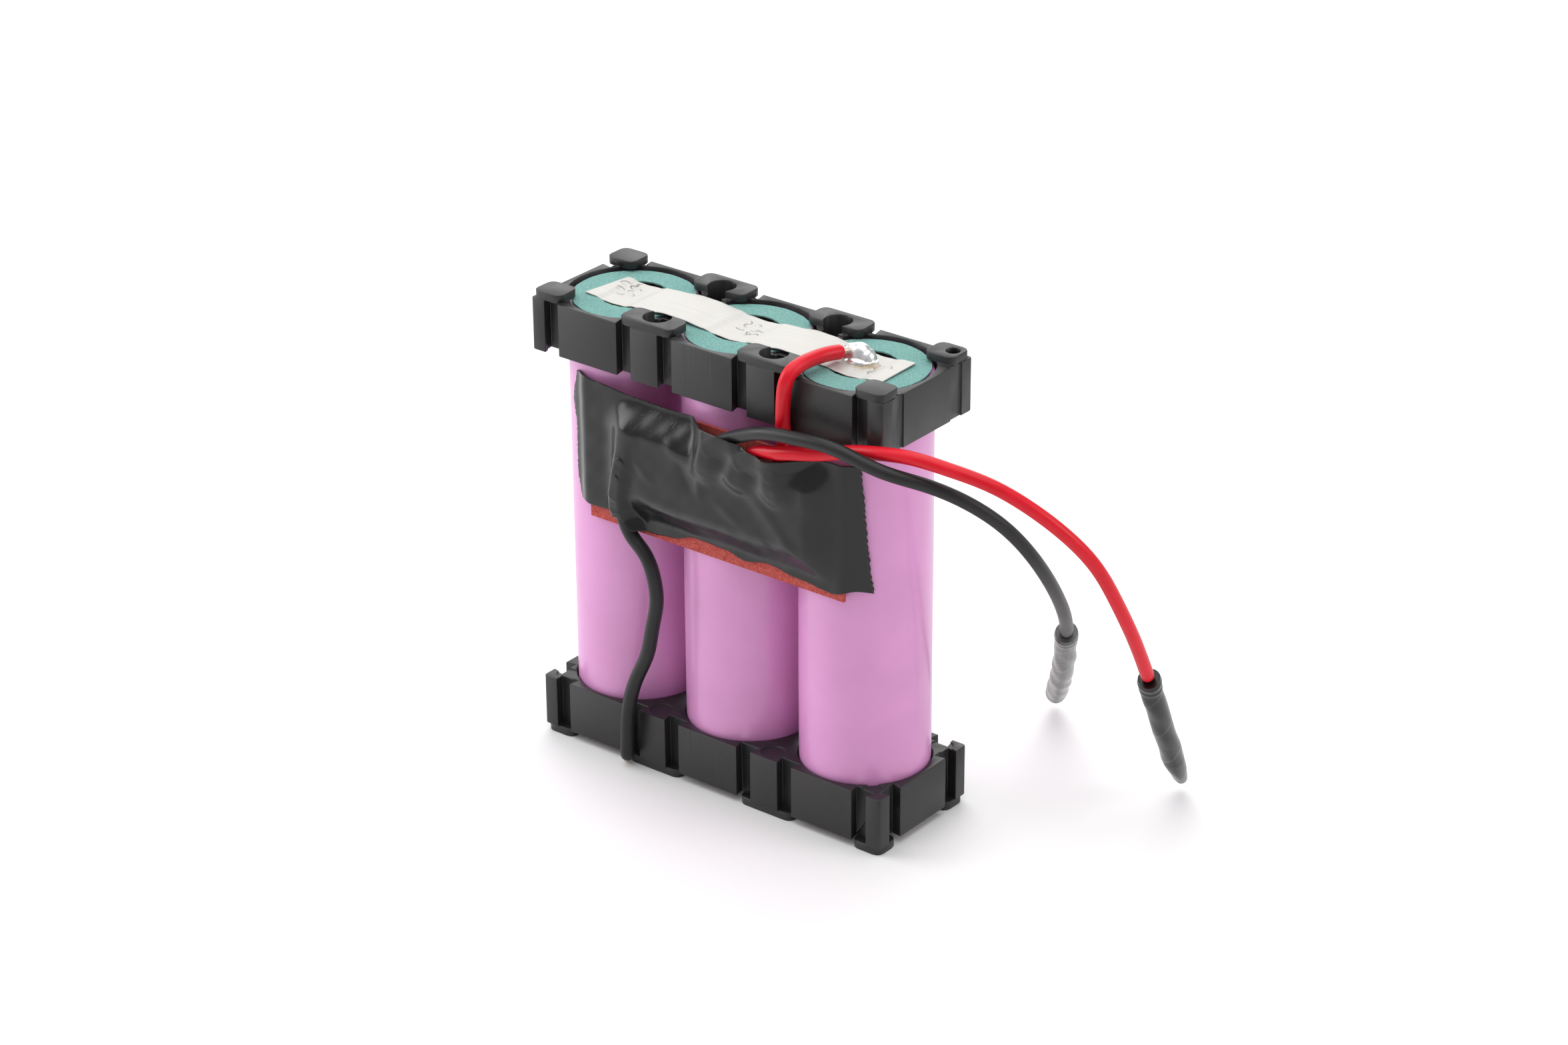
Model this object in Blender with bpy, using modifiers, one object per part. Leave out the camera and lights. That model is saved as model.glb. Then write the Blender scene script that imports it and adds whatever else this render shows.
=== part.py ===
"""Battery pack: three cylindrical lithium cells side by side in two moulded holders, joined in parallel
by nickel strip, with a protection board taped to the front and two output leads.

Axes: +X along the row of cells, -Y the front with the board, +Z up. The row's middle plane stands
ROW_Y behind the origin, so that the origin is the centre of the pack's footprint on the bench.
"""
import math

import bmesh
import bpy
import numpy as np

MM = 0.001

# Cells
CELL_COUNT = 3
CELL_DIAMETER = 18.5 * MM
CELL_LENGTH = 65.0 * MM
SLEEVE_WALL = 0.2 * MM
CAN_WALL = 0.25 * MM
NEST_GAP = 0.15 * MM
SLEEVE_LIP = 1.6 * MM
BEAD_DEPTH = 0.8 * MM
BEAD_BELOW_TOP = 3.4 * MM
CRIMP_LIP = 2.2 * MM
GASKET_WALL = 0.45 * MM
CAP_RAISED_RADIUS = 3.8 * MM
CAP_WALL = 0.35 * MM
VENT_HOLE_DIAMETER = 1.3 * MM
MANDREL_RADIUS = 1.5 * MM
INSULATOR_THICKNESS = 0.3 * MM
RING_MARGIN = 0.25 * MM
RING_HOLE_DIAMETER = 11.6 * MM
RING_THICKNESS = 0.2 * MM
CELL_STEPS = 28

# Moulded holders
PITCH = 20.25 * MM
HOLDER_HEIGHT = 7.8 * MM
BORE_CLEARANCE = 0.2 * MM
CELL_RECESS = 0.975 * MM
CORNER_RADIUS = 0.5 * MM
SLOT_OFFSET = 6.5 * MM
SLOT_MOUTH = 2.4 * MM
SLOT_DEPTH = 1.65 * MM
SLOT_UNDERCUT = 0.35 * MM
BREAK_DEPTH = 0.25 * MM
CHANNEL_DEPTH = 0.3 * MM
PAD_HEIGHT = 1.15 * MM
PAD_INSET = 0.2 * MM
PAD_DEPTH = 4.2 * MM
CORNER_PAD_LENGTH = 4.8 * MM
MIDDLE_PAD_LENGTH = 9.2 * MM
PAD_RADIUS = 1.1 * MM
PAD_HOLE_DIAMETER = 4.0 * MM
PAD_HOLE_INSET = 3.1 * MM
PAD_HOLE_DEPTH = 5.0 * MM
PAD_MOUTH_WIDTH = 2.5 * MM
PIN_HOLE_DIAMETER = 2.0 * MM
EJECTOR_DIAMETER = 3.3 * MM
EJECTOR_DEPTH = 0.2 * MM
BORE_STEPS = 36

# Nickel strip and solder
STRIP_WIDTH = 8.0 * MM
STRIP_THICKNESS = 0.15 * MM
STRIP_OVERHANG = 5.3 * MM
STRIP_GAP = 0.1 * MM
STRIP_RAMP = 2.2 * MM
WEB_MARGIN = 0.24 * MM
SOLDER_MARGIN = 0.05 * MM

# Board pack on the front
BACKING_WIDTH = 44.6 * MM
BACKING_HEIGHT = 19.7 * MM
BACKING_THICKNESS = 0.45 * MM
BACKING_LEFT = -20.6 * MM
BACKING_BOTTOM = 37.3 * MM
BOARD_WIDTH = 33.0 * MM
BOARD_HEIGHT = 12.0 * MM
BOARD_THICKNESS = 0.8 * MM
BOARD_LEFT = -13.5 * MM
BOARD_BOTTOM = 42.3 * MM
STACK_GAP = 0.15 * MM
BOARD_CLEARANCE = 2.4 * MM
TAPE_THICKNESS = 0.3 * MM
TAPE_CLEARANCE = 0.2 * MM

# Leads
LINK_LEAD_DIAMETER = 2.05 * MM
OUTPUT_LEAD_DIAMETER = 1.9 * MM
STRAND_DIAMETER = 0.9 * MM
TIP_WRAP_DIAMETER = 3.1 * MM
LEAD_GAP = 0.2 * MM

# Worked out from the sizes above
CELL_RADIUS = CELL_DIAMETER / 2
CAN_RADIUS = CELL_RADIUS - SLEEVE_WALL - NEST_GAP
RING_RADIUS = CELL_RADIUS - RING_MARGIN
BORE_RADIUS = CELL_RADIUS + BORE_CLEARANCE
HALF_LENGTH = CELL_COUNT * PITCH / 2
HALF_WIDTH = PITCH / 2
CELL_BASE = PAD_HEIGHT + CELL_RECESS
PACK_HEIGHT = 2 * CELL_BASE + CELL_LENGTH
UPPER_BODY_TOP = PACK_HEIGHT - PAD_HEIGHT
BACKING_BACK = -CELL_RADIUS - STACK_GAP
BOARD_BACK = BACKING_BACK - BACKING_THICKNESS - STACK_GAP
BOARD_FACE = BOARD_BACK - BOARD_THICKNESS
TAPE_FRONT = -BOARD_FACE + BOARD_CLEARANCE + TAPE_THICKNESS
ROW_Y = (TAPE_FRONT - HALF_WIDTH) / 2


def clear_scene():
    for old in list(bpy.data.objects):
        bpy.data.objects.remove(old, do_unlink=True)


def paint(name, colour, roughness, metallic=0.0):
    """A Principled material with one colour, roughness and metallic value."""
    finish = bpy.data.materials.new(name)
    finish.use_nodes = True
    shader = finish.node_tree.nodes["Principled BSDF"]
    shader.inputs["Base Color"].default_value = (*colour, 1.0)
    shader.inputs["Roughness"].default_value = roughness
    shader.inputs["Metallic"].default_value = metallic
    finish.diffuse_color = (*colour, 1.0)
    return finish


def place(name, mesh, finish, x=0.0, y=0.0, z=0.0):
    """A named piece of the pack, placed in the row's own frame."""
    piece = bpy.data.objects.new(name, mesh)
    PACK.objects.link(piece)
    if not mesh.materials:
        mesh.materials.append(finish)
    piece.parent = ROW
    piece.location = (x, y, z)
    return piece


def smooth(mesh, degrees=40):
    mesh.shade_smooth()
    mesh.set_sharp_from_angle(angle=math.radians(degrees))


# Building blocks: each adds one closed body to a bmesh


def add_box(bm, low, high):
    verts = bmesh.ops.create_cube(bm, size=1.0)["verts"]
    for vert in verts:
        for axis in range(3):
            middle = (low[axis] + high[axis]) / 2
            vert.co[axis] = middle + vert.co[axis] * (high[axis] - low[axis])
    return verts


def add_cylinder(bm, x, y, low, high, radius, steps):
    verts = bmesh.ops.create_cone(
        bm, cap_ends=True, segments=steps, radius1=radius, radius2=radius, depth=high - low
    )["verts"]
    for vert in verts:
        vert.co.x += x
        vert.co.y += y
        vert.co.z += (low + high) / 2
    return verts


def add_slot(bm, turn, along, face, low, high):
    """A dovetail groove's cutter: its mouth lies on a face at distance `face` from the middle and its
    walls spread by SLOT_UNDERCUT towards the back. `turn` is the quarter turns that the face has."""
    reach = SLOT_DEPTH
    verts = add_box(bm, (-0.5, -reach, low), (0.5, reach, high))
    cosine, sine = (1, 0, -1, 0)[turn], (0, 1, 0, -1)[turn]
    for vert in verts:
        inward = vert.co.y / reach
        half = SLOT_MOUTH / 2 + SLOT_UNDERCUT * inward
        across, deep = 2 * vert.co.x * half + along, -face + vert.co.y
        vert.co.x = across * cosine - deep * sine
        vert.co.y = across * sine + deep * cosine


def add_rounded_pad(bm, x, y, length, depth, low, high, radius):
    verts = add_box(bm, (x - length / 2, y - depth / 2, low), (x + length / 2, y + depth / 2, high))
    upright = {
        edge
        for vert in verts
        for edge in vert.link_edges
        if abs(edge.verts[0].co.z - edge.verts[1].co.z) > (high - low) / 2
    }
    bmesh.ops.bevel(
        bm, geom=list(upright), offset=radius, segments=3, profile=0.5, affect="EDGES"
    )


def finished(bm, name):
    bmesh.ops.recalc_face_normals(bm, faces=bm.faces)
    mesh = bpy.data.meshes.new(name)
    bm.to_mesh(mesh)
    bm.free()
    return mesh


def carve(mesh, cutter, operation):
    """The mesh after an exact Boolean with the cutter's mesh."""
    stock = bpy.data.objects.new("stock", mesh)
    tool = bpy.data.objects.new("tool", cutter)
    for item in (stock, tool):
        CUTTERS.objects.link(item)
    step = stock.modifiers.new("carve", "BOOLEAN")
    step.operation = operation
    step.solver = "EXACT"
    step.object = tool
    depsgraph = bpy.context.evaluated_depsgraph_get()
    result = bpy.data.meshes.new_from_object(stock.evaluated_get(depsgraph))
    for item in (stock, tool):
        bpy.data.objects.remove(item)
    return result


def turned(name, profile, finish, x=0.0, y=0.0, z=0.0, steps=CELL_STEPS):
    """A turned piece: its closed outline of (radius, height) runs down the outer side first."""
    mesh = bpy.data.meshes.new(name)
    points = [(radius, 0.0, height) for radius, height in profile]
    count = len(points)
    edges = [(i, (i + 1) % count) for i in range(count)]
    if profile[0][0] == 0.0 and profile[-1][0] == 0.0:
        edges.pop()
    mesh.from_pydata(points, edges, [])
    piece = place(name, mesh, finish, x, y, z)
    spin = piece.modifiers.new("turn", "SCREW")
    spin.axis = "Z"
    spin.steps = steps
    spin.render_steps = steps
    spin.use_merge_vertices = True
    spin.merge_threshold = 0.00001
    spin.use_smooth_shade = True
    return piece


def smooth_route(points, spacing):
    """Points at even steps along the natural cubic curve through the route's own points."""
    knots = np.array(points, float) * MM
    run = np.concatenate([[0.0], np.cumsum(np.linalg.norm(np.diff(knots, axis=0), axis=1))])
    gap = np.diff(run)
    count = len(knots)
    system = np.eye(count)
    slopes = np.zeros((count, 3))
    for i in range(1, count - 1):
        system[i, i - 1 : i + 2] = gap[i - 1], 2 * (gap[i - 1] + gap[i]), gap[i]
        slopes[i] = 6 * ((knots[i + 1] - knots[i]) / gap[i] - (knots[i] - knots[i - 1]) / gap[i - 1])
    bend = np.linalg.solve(system, slopes)
    steps = max(4, round(run[-1] / spacing))
    curve = []
    for place_along in np.linspace(0.0, run[-1], steps + 1):
        i = min(int(np.searchsorted(run, place_along, side="right")) - 1, count - 2)
        before, after = place_along - run[i], run[i + 1] - place_along
        curve.append(
            bend[i] * after**3 / (6 * gap[i])
            + bend[i + 1] * before**3 / (6 * gap[i])
            + (knots[i] / gap[i] - bend[i] * gap[i] / 6) * after
            + (knots[i + 1] / gap[i] - bend[i + 1] * gap[i] / 6) * before
        )
    return curve


def lead(name, route, diameter, finish):
    """A round lead with flat ends along its route."""
    curve = bpy.data.curves.new(name, "CURVE")
    curve.dimensions = "3D"
    curve.bevel_depth = diameter / 2
    curve.bevel_resolution = 2
    curve.use_fill_caps = True
    line = curve.splines.new("POLY")
    line.points.add(len(route) - 1)
    for point, position in zip(line.points, route):
        point.co = (*position, 1.0)
    curve.materials.append(finish)
    piece = bpy.data.objects.new(name, curve)
    PACK.objects.link(piece)
    piece.parent = ROW
    return piece


# Moulded holder: one design, used upright at the top and turned over at the bottom


def cell_places():
    return [(i - (CELL_COUNT - 1) / 2) * PITCH for i in range(CELL_COUNT)]


def seams():
    """The places between neighbouring cells."""
    return [(i - CELL_COUNT / 2) * PITCH for i in range(1, CELL_COUNT)]


def holder_mesh(name, broken_end):
    """The holder with its outer face up, at height zero. Where its right end's mating tabs were broken
    off flush, broken_end leaves only shallow marks in place of that end's two grooves."""
    low = -HOLDER_HEIGHT
    beyond = 1.0 * MM
    body = bmesh.new()
    add_rounded_pad(
        body, 0.0, 0.0, 2 * HALF_LENGTH, 2 * HALF_WIDTH, low, 0.0, CORNER_RADIUS
    )
    mesh = finished(body, name)

    bores = bmesh.new()
    for x in cell_places():
        add_cylinder(bores, x, 0.0, low - beyond, beyond, BORE_RADIUS, BORE_STEPS)
    mesh = carve(mesh, finished(bores, "bores"), "DIFFERENCE")

    slots = bmesh.new()
    for x in cell_places():
        for side in (-SLOT_OFFSET, SLOT_OFFSET):
            add_slot(slots, 0, x + side, HALF_WIDTH, low - beyond, beyond)
            add_slot(slots, 2, x + side, HALF_WIDTH, low - beyond, beyond)
    for side in (-SLOT_OFFSET, SLOT_OFFSET):
        add_slot(slots, 3, side, HALF_LENGTH, low - beyond, beyond)
        if broken_end:
            edge = HALF_LENGTH - BREAK_DEPTH
            half = SLOT_MOUTH / 2
            add_box(slots, (edge, side - half, low - beyond), (edge + beyond, side + half, beyond))
        else:
            add_slot(slots, 1, side, HALF_LENGTH, low - beyond, beyond)
    mesh = carve(mesh, finished(slots, "slots"), "DIFFERENCE")

    reliefs = bmesh.new()
    half = STRIP_WIDTH / 2 + 1.2 * MM
    add_box(
        reliefs,
        (-HALF_LENGTH + PITCH / 2, -half, -CHANNEL_DEPTH),
        (HALF_LENGTH - PITCH / 2, half, beyond),
    )
    pad_y = HALF_WIDTH - PAD_INSET - PAD_DEPTH / 2
    corner_x = HALF_LENGTH - PAD_INSET - CORNER_PAD_LENGTH / 2
    for x in (-corner_x, *seams(), corner_x):
        for y in (-pad_y, pad_y):
            add_cylinder(
                reliefs, x, y, low - beyond, low + EJECTOR_DEPTH, EJECTOR_DIAMETER / 2, 12
            )
    mesh = carve(mesh, finished(reliefs, "reliefs"), "DIFFERENCE")

    pads = bmesh.new()
    sunk = -0.1 * MM
    for y in (-pad_y, pad_y):
        for x in (-corner_x, corner_x):
            add_rounded_pad(
                pads, x, y, CORNER_PAD_LENGTH, PAD_DEPTH, sunk, PAD_HEIGHT, PAD_RADIUS
            )
        for x in seams():
            add_rounded_pad(
                pads, x, y, MIDDLE_PAD_LENGTH, PAD_DEPTH, sunk, PAD_HEIGHT, PAD_RADIUS
            )
    mesh = carve(mesh, finished(pads, "pads"), "UNION")

    floor = PAD_HEIGHT - PAD_HOLE_DEPTH
    hole_y = HALF_WIDTH - PAD_HOLE_INSET
    holes = bmesh.new()
    for x in seams():
        for y in (-hole_y, hole_y):
            add_cylinder(
                holes, x, y, floor, PAD_HEIGHT + beyond, PAD_HOLE_DIAMETER / 2, 20
            )
    pin_x, pin_y = HALF_LENGTH - 1.75 * MM, HALF_WIDTH - 2.05 * MM
    add_cylinder(holes, pin_x, pin_y, floor, PAD_HEIGHT + beyond, PIN_HOLE_DIAMETER / 2, 12)
    mesh = carve(mesh, finished(holes, "holes"), "DIFFERENCE")

    mouths = bmesh.new()
    half = PAD_MOUTH_WIDTH / 2
    inner = hole_y - PAD_HOLE_DIAMETER / 2 - 0.6 * MM
    for x in seams():
        for side in (-1, 1):
            ends = sorted((side * inner, side * hole_y))
            add_box(
                mouths, (x - half, ends[0], floor + 0.5 * MM), (x + half, ends[1], PAD_HEIGHT + beyond)
            )
    mesh = carve(mesh, finished(mouths, "mouths"), "DIFFERENCE")
    smooth(mesh)
    return mesh


def make_holders():
    plastic = paint("black_plastic", (0.025, 0.025, 0.027), 0.45)
    upper = holder_mesh("holder_top", broken_end=True)
    place("holder_top", upper, plastic, z=UPPER_BODY_TOP)
    lower = holder_mesh("holder_bottom", broken_end=False)
    piece = place("holder_bottom", lower, plastic, z=PAD_HEIGHT)
    piece.rotation_euler = (math.pi, 0.0, 0.0)


# Cells


def can_profile():
    """The drawn steel can: flat base, side wall, bead and crimped rim, as one wall CAN_WALL thick."""
    outer, inner = CAN_RADIUS, CAN_RADIUS - CAN_WALL
    base = SLEEVE_WALL + NEST_GAP
    proud = CELL_RADIUS - SLEEVE_LIP - 0.4 * MM
    rim = CELL_LENGTH - 0.35 * MM - SLEEVE_WALL - NEST_GAP
    bead = rim - BEAD_BELOW_TOP
    half = 0.7 * MM
    lip = outer - CRIMP_LIP
    return [
        (lip, rim),
        (outer - 0.4 * MM, rim),
        (outer, rim - 0.4 * MM),
        (outer, bead + half),
        (outer - BEAD_DEPTH, bead),
        (outer, bead - half),
        (outer, base + 0.5 * MM),
        (outer - 0.5 * MM, base),
        (proud, base),
        (proud - 0.2 * MM, 0.05 * MM),
        (0.0, 0.05 * MM),
        (0.0, 0.05 * MM + CAN_WALL),
        (proud - 0.2 * MM - CAN_WALL, base + CAN_WALL),
        (inner - 0.4 * MM, base + CAN_WALL),
        (inner, base + 0.5 * MM + CAN_WALL / 2),
        (inner, bead - half - CAN_WALL / 2),
        (inner - BEAD_DEPTH, bead),
        (inner, bead + half + CAN_WALL / 2),
        (inner, rim - 0.4 * MM - CAN_WALL / 2),
        (inner - 0.3 * MM, rim - CAN_WALL),
        (lip, rim - CAN_WALL),
    ]


def sleeve_profile():
    """The shrunk sleeve: a thin tube folded in over the can's base and rim."""
    outer, inner = CELL_RADIUS, CELL_RADIUS - SLEEVE_WALL
    top = CELL_LENGTH - 0.35 * MM
    lip = CELL_RADIUS - SLEEVE_LIP
    soft = 0.35 * MM
    return [
        (lip, top),
        (outer - soft, top),
        (outer, top - soft),
        (outer, soft),
        (outer - soft, 0.0),
        (lip, 0.0),
        (lip, SLEEVE_WALL),
        (inner - soft + 0.1 * MM, SLEEVE_WALL),
        (inner, SLEEVE_WALL + soft - 0.1 * MM),
        (inner, top - SLEEVE_WALL - soft + 0.1 * MM),
        (inner - soft + 0.1 * MM, top - SLEEVE_WALL),
        (lip, top - SLEEVE_WALL),
    ]


def make_cell(number, x, finishes):
    name = f"cell_{number}_"
    base = CELL_BASE
    rim = CELL_LENGTH - 0.35 * MM - SLEEVE_WALL - NEST_GAP
    bead = rim - BEAD_BELOW_TOP
    bore = CAN_RADIUS - CAN_WALL
    clear = NEST_GAP

    turned(name + "sleeve", sleeve_profile(), finishes["sleeve"], x, 0.0, base)
    turned(name + "can", can_profile(), finishes["steel"], x, 0.0, base)

    roll_low = 1.6 * MM
    roll_high = bead - 1.9 * MM
    roll = bore - clear - 0.1 * MM
    roll_profile = [
        (roll, roll_high),
        (roll, roll_low),
        (MANDREL_RADIUS, roll_low),
        (MANDREL_RADIUS, roll_high),
    ]
    turned(name + "jelly_roll", roll_profile, finishes["electrode"], x, 0.0, base)
    for label, low in (("lower", roll_low - 0.15 * MM), ("upper", roll_high + 0.15 * MM)):
        step = -INSULATOR_THICKNESS if label == "lower" else INSULATOR_THICKNESS
        high, low = max(low, low + step), min(low, low + step)
        disc = [
            (roll - 0.2 * MM, high),
            (roll - 0.2 * MM, low),
            (MANDREL_RADIUS, low),
            (MANDREL_RADIUS, high),
        ]
        turned(f"{name}{label}_insulator", disc, finishes["insulator"], x, 0.0, base)

    # The gasket is a channel that holds the rims of the cap and the vent disc inside the crimp.
    seat = bead + 0.75 * MM
    roof = rim - CAN_WALL - clear
    gasket_outer = bore - clear - 0.15 * MM
    gasket_inner = gasket_outer - GASKET_WALL
    lip = CAN_RADIUS - CRIMP_LIP - 0.5 * MM
    gasket = [
        (lip, roof),
        (gasket_outer, roof),
        (gasket_outer, seat),
        (lip, seat),
        (lip, seat + GASKET_WALL),
        (gasket_inner, seat + GASKET_WALL),
        (gasket_inner, roof - GASKET_WALL),
        (lip, roof - GASKET_WALL),
    ]
    turned(name + "gasket", gasket, finishes["gasket"], x, 0.0, base)

    held = gasket_inner - 0.1 * MM
    vent_low = seat + GASKET_WALL + 0.1 * MM
    vent = [
        (held, vent_low + 0.3 * MM),
        (held, vent_low),
        (3.2 * MM, vent_low),
        (2.4 * MM, vent_low - 0.6 * MM),
        (0.0, vent_low - 0.6 * MM),
        (0.0, vent_low - 0.3 * MM),
        (2.2 * MM, vent_low - 0.3 * MM),
        (3.0 * MM, vent_low + 0.3 * MM),
    ]
    turned(name + "vent_disc", vent, finishes["aluminium"], x, 0.0, base)

    flange = roof - GASKET_WALL - 0.1 * MM
    top = CELL_LENGTH
    wall = CAP_WALL
    shoulder = CAP_RAISED_RADIUS + 0.4 * MM
    cap = [
        (0.0, top),
        (CAP_RAISED_RADIUS, top),
        (shoulder, flange),
        (held, flange),
        (held, flange - wall),
        (shoulder - wall, flange - wall),
        (CAP_RAISED_RADIUS - wall, top - wall),
        (0.0, top - wall),
    ]
    piece = turned(name + "cap", cap, finishes["steel"], x, 0.0, base)
    add_vents(piece, name, x, base + flange, shoulder)

    ring_low = CELL_LENGTH - 0.35 * MM + 0.1 * MM
    ring_high = ring_low + RING_THICKNESS
    ring = [
        (RING_RADIUS, ring_high),
        (RING_RADIUS, ring_low),
        (RING_HOLE_DIAMETER / 2, ring_low),
        (RING_HOLE_DIAMETER / 2, ring_high),
    ]
    turned(name + "top_ring", ring, finishes["ring"], x, 0.0, base)

    # The positive tab: a thin strip up from the roll, through the upper insulator's hole.
    tab = bmesh.new()
    tab_low = base + roll_high - 6.0 * MM
    tab_high = base + vent_low - 0.6 * MM - 0.15 * MM
    add_box(tab, (x - 1.0 * MM, -0.1 * MM, tab_low), (x + 1.0 * MM, 0.1 * MM, tab_high))
    place(name + "positive_tab", finished(tab, name + "positive_tab"), finishes["aluminium"])


def add_vents(cap, name, x, height, radius):
    """Three gas vents through the cap's shoulder."""
    cutter = bmesh.new()
    for turn in range(3):
        angle = math.radians(30 + 120 * turn)
        add_cylinder(
            cutter,
            (radius + 0.1 * MM) * math.cos(angle),
            (radius + 0.1 * MM) * math.sin(angle),
            -2.0 * MM,
            0.35 * MM,
            VENT_HOLE_DIAMETER / 2,
            8,
        )
    tool = bpy.data.objects.new(name + "vent_cutter", finished(cutter, name + "vents"))
    CUTTERS.objects.link(tool)
    tool.parent = ROW
    tool.location = (x, 0.0, height)
    tool.hide_render = True
    tool.display_type = "WIRE"
    step = cap.modifiers.new("vents", "BOOLEAN")
    step.solver = "EXACT"
    step.object = tool


def make_cells():
    finishes = {
        "sleeve": paint("pink_sleeve", (0.62, 0.27, 0.56), 0.3),
        "steel": paint("plated_steel", (0.72, 0.72, 0.7), 0.3, 1.0),
        "electrode": paint("wound_electrodes", (0.18, 0.18, 0.19), 0.7),
        "insulator": paint("insulator_film", (0.75, 0.75, 0.68), 0.6),
        "gasket": paint("gasket_plastic", (0.8, 0.8, 0.78), 0.5),
        "aluminium": paint("aluminium", (0.8, 0.8, 0.82), 0.35, 1.0),
        "ring": paint("teal_fish_paper", (0.14, 0.44, 0.38), 0.9),
    }
    for number, x in enumerate(cell_places(), start=1):
        make_cell(number, x, finishes)


# Nickel strips, welded to the cell ends and lying in the holders' channels


def web_stretch():
    """Half the length of the strip's raised stretch over a web, which is widest at the strip's edges."""
    return PITCH / 2 - math.sqrt(BORE_RADIUS**2 - (STRIP_WIDTH / 2) ** 2) + WEB_MARGIN


def strip(name, face, outward, finish):
    """A strip over all cells. Its flat underside is STRIP_GAP off each cell end at height `face`, and
    it steps out over each web between two cells. `outward` is +1 on the top and -1 at the base."""
    web = CELL_RECESS - CHANNEL_DEPTH
    edge = web_stretch()
    foot = edge + STRIP_RAMP
    left = -HALF_LENGTH + PITCH / 2 - STRIP_OVERHANG
    stations = [(left, 0.0)]
    for x in seams():
        stations += [(x - foot, 0.0), (x - edge, web), (x + edge, web), (x + foot, 0.0)]
    stations += [(-left, 0.0)]
    outline = [(x, STRIP_GAP + rise) for x, rise in stations]
    outline += [(x, STRIP_GAP + STRIP_THICKNESS + rise) for x, rise in reversed(stations)]
    bm = bmesh.new()
    ends = []
    for y in (-STRIP_WIDTH / 2, STRIP_WIDTH / 2):
        ends.append([bm.verts.new((x, y, face + outward * rise)) for x, rise in outline])
    count = len(outline)
    bm.faces.new(ends[0])
    bm.faces.new(reversed(ends[1]))
    for i in range(count):
        after = (i + 1) % count
        bm.faces.new((ends[0][after], ends[0][i], ends[1][i], ends[1][after]))
    return place(name, finished(bm, name), finish)


def solder(name, centre, half_sizes, base, outward, finish):
    """A blob with a flat side at height `base`."""
    bm = bmesh.new()
    for vert in bmesh.ops.create_uvsphere(bm, u_segments=14, v_segments=8, radius=1.0)["verts"]:
        vert.co.x = centre[0] + vert.co.x * half_sizes[0]
        vert.co.y = centre[1] + outward * vert.co.y * half_sizes[1]
        vert.co.z = base + outward * max(0.0, vert.co.z) * half_sizes[2]
    mesh = bpy.data.meshes.new(name)
    bm.to_mesh(mesh)
    bm.free()
    smooth(mesh)
    return place(name, mesh, finish)


def make_connections():
    nickel = paint("nickel", (0.78, 0.76, 0.7), 0.3, 1.0)
    tin = paint("solder", (0.75, 0.76, 0.78), 0.15, 1.0)
    top_face = CELL_BASE + CELL_LENGTH
    strip("nickel_strip_top", top_face, 1, nickel)
    strip("nickel_strip_bottom", CELL_BASE, -1, nickel)
    raised = STRIP_GAP + STRIP_THICKNESS + LEAD_GAP
    flat = web_stretch() + STRIP_RAMP + SOLDER_MARGIN
    blob = (2.5 * MM, 1.9 * MM, 2.0 * MM)
    centre = (seams()[-1] + flat + 1.05 * MM + blob[0], 2.1 * MM)
    solder("solder_positive", centre, blob, top_face + raised, 1, tin)
    blob = (1.75 * MM, 1.7 * MM, 0.9 * MM)
    centre = (seams()[0] - flat - blob[0], -1.7 * MM)
    solder("solder_negative", centre, blob, CELL_BASE - raised, -1, tin)


# Protection board, its backing and the tape over them


def block(name, low, high, finish):
    bm = bmesh.new()
    add_box(bm, low, high)
    return place(name, finished(bm, name), finish)


def on_board(name, x, z, width, height, thick, finish):
    """A component on the board's face, at (x, z) from the board's lower left corner."""
    left, low = BOARD_LEFT + x, BOARD_BOTTOM + z
    back = BOARD_FACE - STACK_GAP
    return block(name, (left, back - thick, low), (left + width, back, low + height), finish)


def make_board():
    fibre = paint("red_fibre", (0.5, 0.06, 0.03), 0.8)
    laminate = paint("green_laminate", (0.03, 0.2, 0.08), 0.4)
    chip = paint("chip_plastic", (0.02, 0.02, 0.02), 0.5)
    ceramic = paint("ceramic", (0.45, 0.35, 0.25), 0.5)
    tin = paint("pad_solder", (0.7, 0.7, 0.72), 0.25, 1.0)
    block(
        "backing_board",
        (BACKING_LEFT, BACKING_BACK - BACKING_THICKNESS, BACKING_BOTTOM),
        (BACKING_LEFT + BACKING_WIDTH, BACKING_BACK, BACKING_BOTTOM + BACKING_HEIGHT),
        fibre,
    )
    block(
        "circuit_board",
        (BOARD_LEFT, BOARD_FACE, BOARD_BOTTOM),
        (BOARD_LEFT + BOARD_WIDTH, BOARD_BACK, BOARD_BOTTOM + BOARD_HEIGHT),
        laminate,
    )
    on_board("mosfet_1", 6.0 * MM, 1.5 * MM, 4.4 * MM, 3.0 * MM, 0.9 * MM, chip)
    on_board("mosfet_2", 12.5 * MM, 1.5 * MM, 4.4 * MM, 3.0 * MM, 0.9 * MM, chip)
    on_board("protection_chip", 20.0 * MM, 2.0 * MM, 2.9 * MM, 1.6 * MM, 0.9 * MM, chip)
    on_board("resistor_1", 25.5 * MM, 1.4 * MM, 1.6 * MM, 0.8 * MM, 0.45 * MM, chip)
    on_board("resistor_2", 25.5 * MM, 3.6 * MM, 1.6 * MM, 0.8 * MM, 0.45 * MM, chip)
    on_board("capacitor", 29.0 * MM, 2.0 * MM, 1.25 * MM, 2.0 * MM, 0.8 * MM, ceramic)
    joint = (2.4 * MM, 2.2 * MM, 0.35 * MM)
    on_board("board_joint_cell_minus", 2.2 * MM, 5.2 * MM, *joint, tin)
    on_board("board_joint_out_minus", 14.0 * MM, 7.2 * MM, *joint, tin)
    on_board("board_joint_out_plus", 19.8 * MM, 7.2 * MM, *joint, tin)
    on_board("board_joint_cell_plus", 26.9 * MM, 6.6 * MM, *joint, tin)


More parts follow.
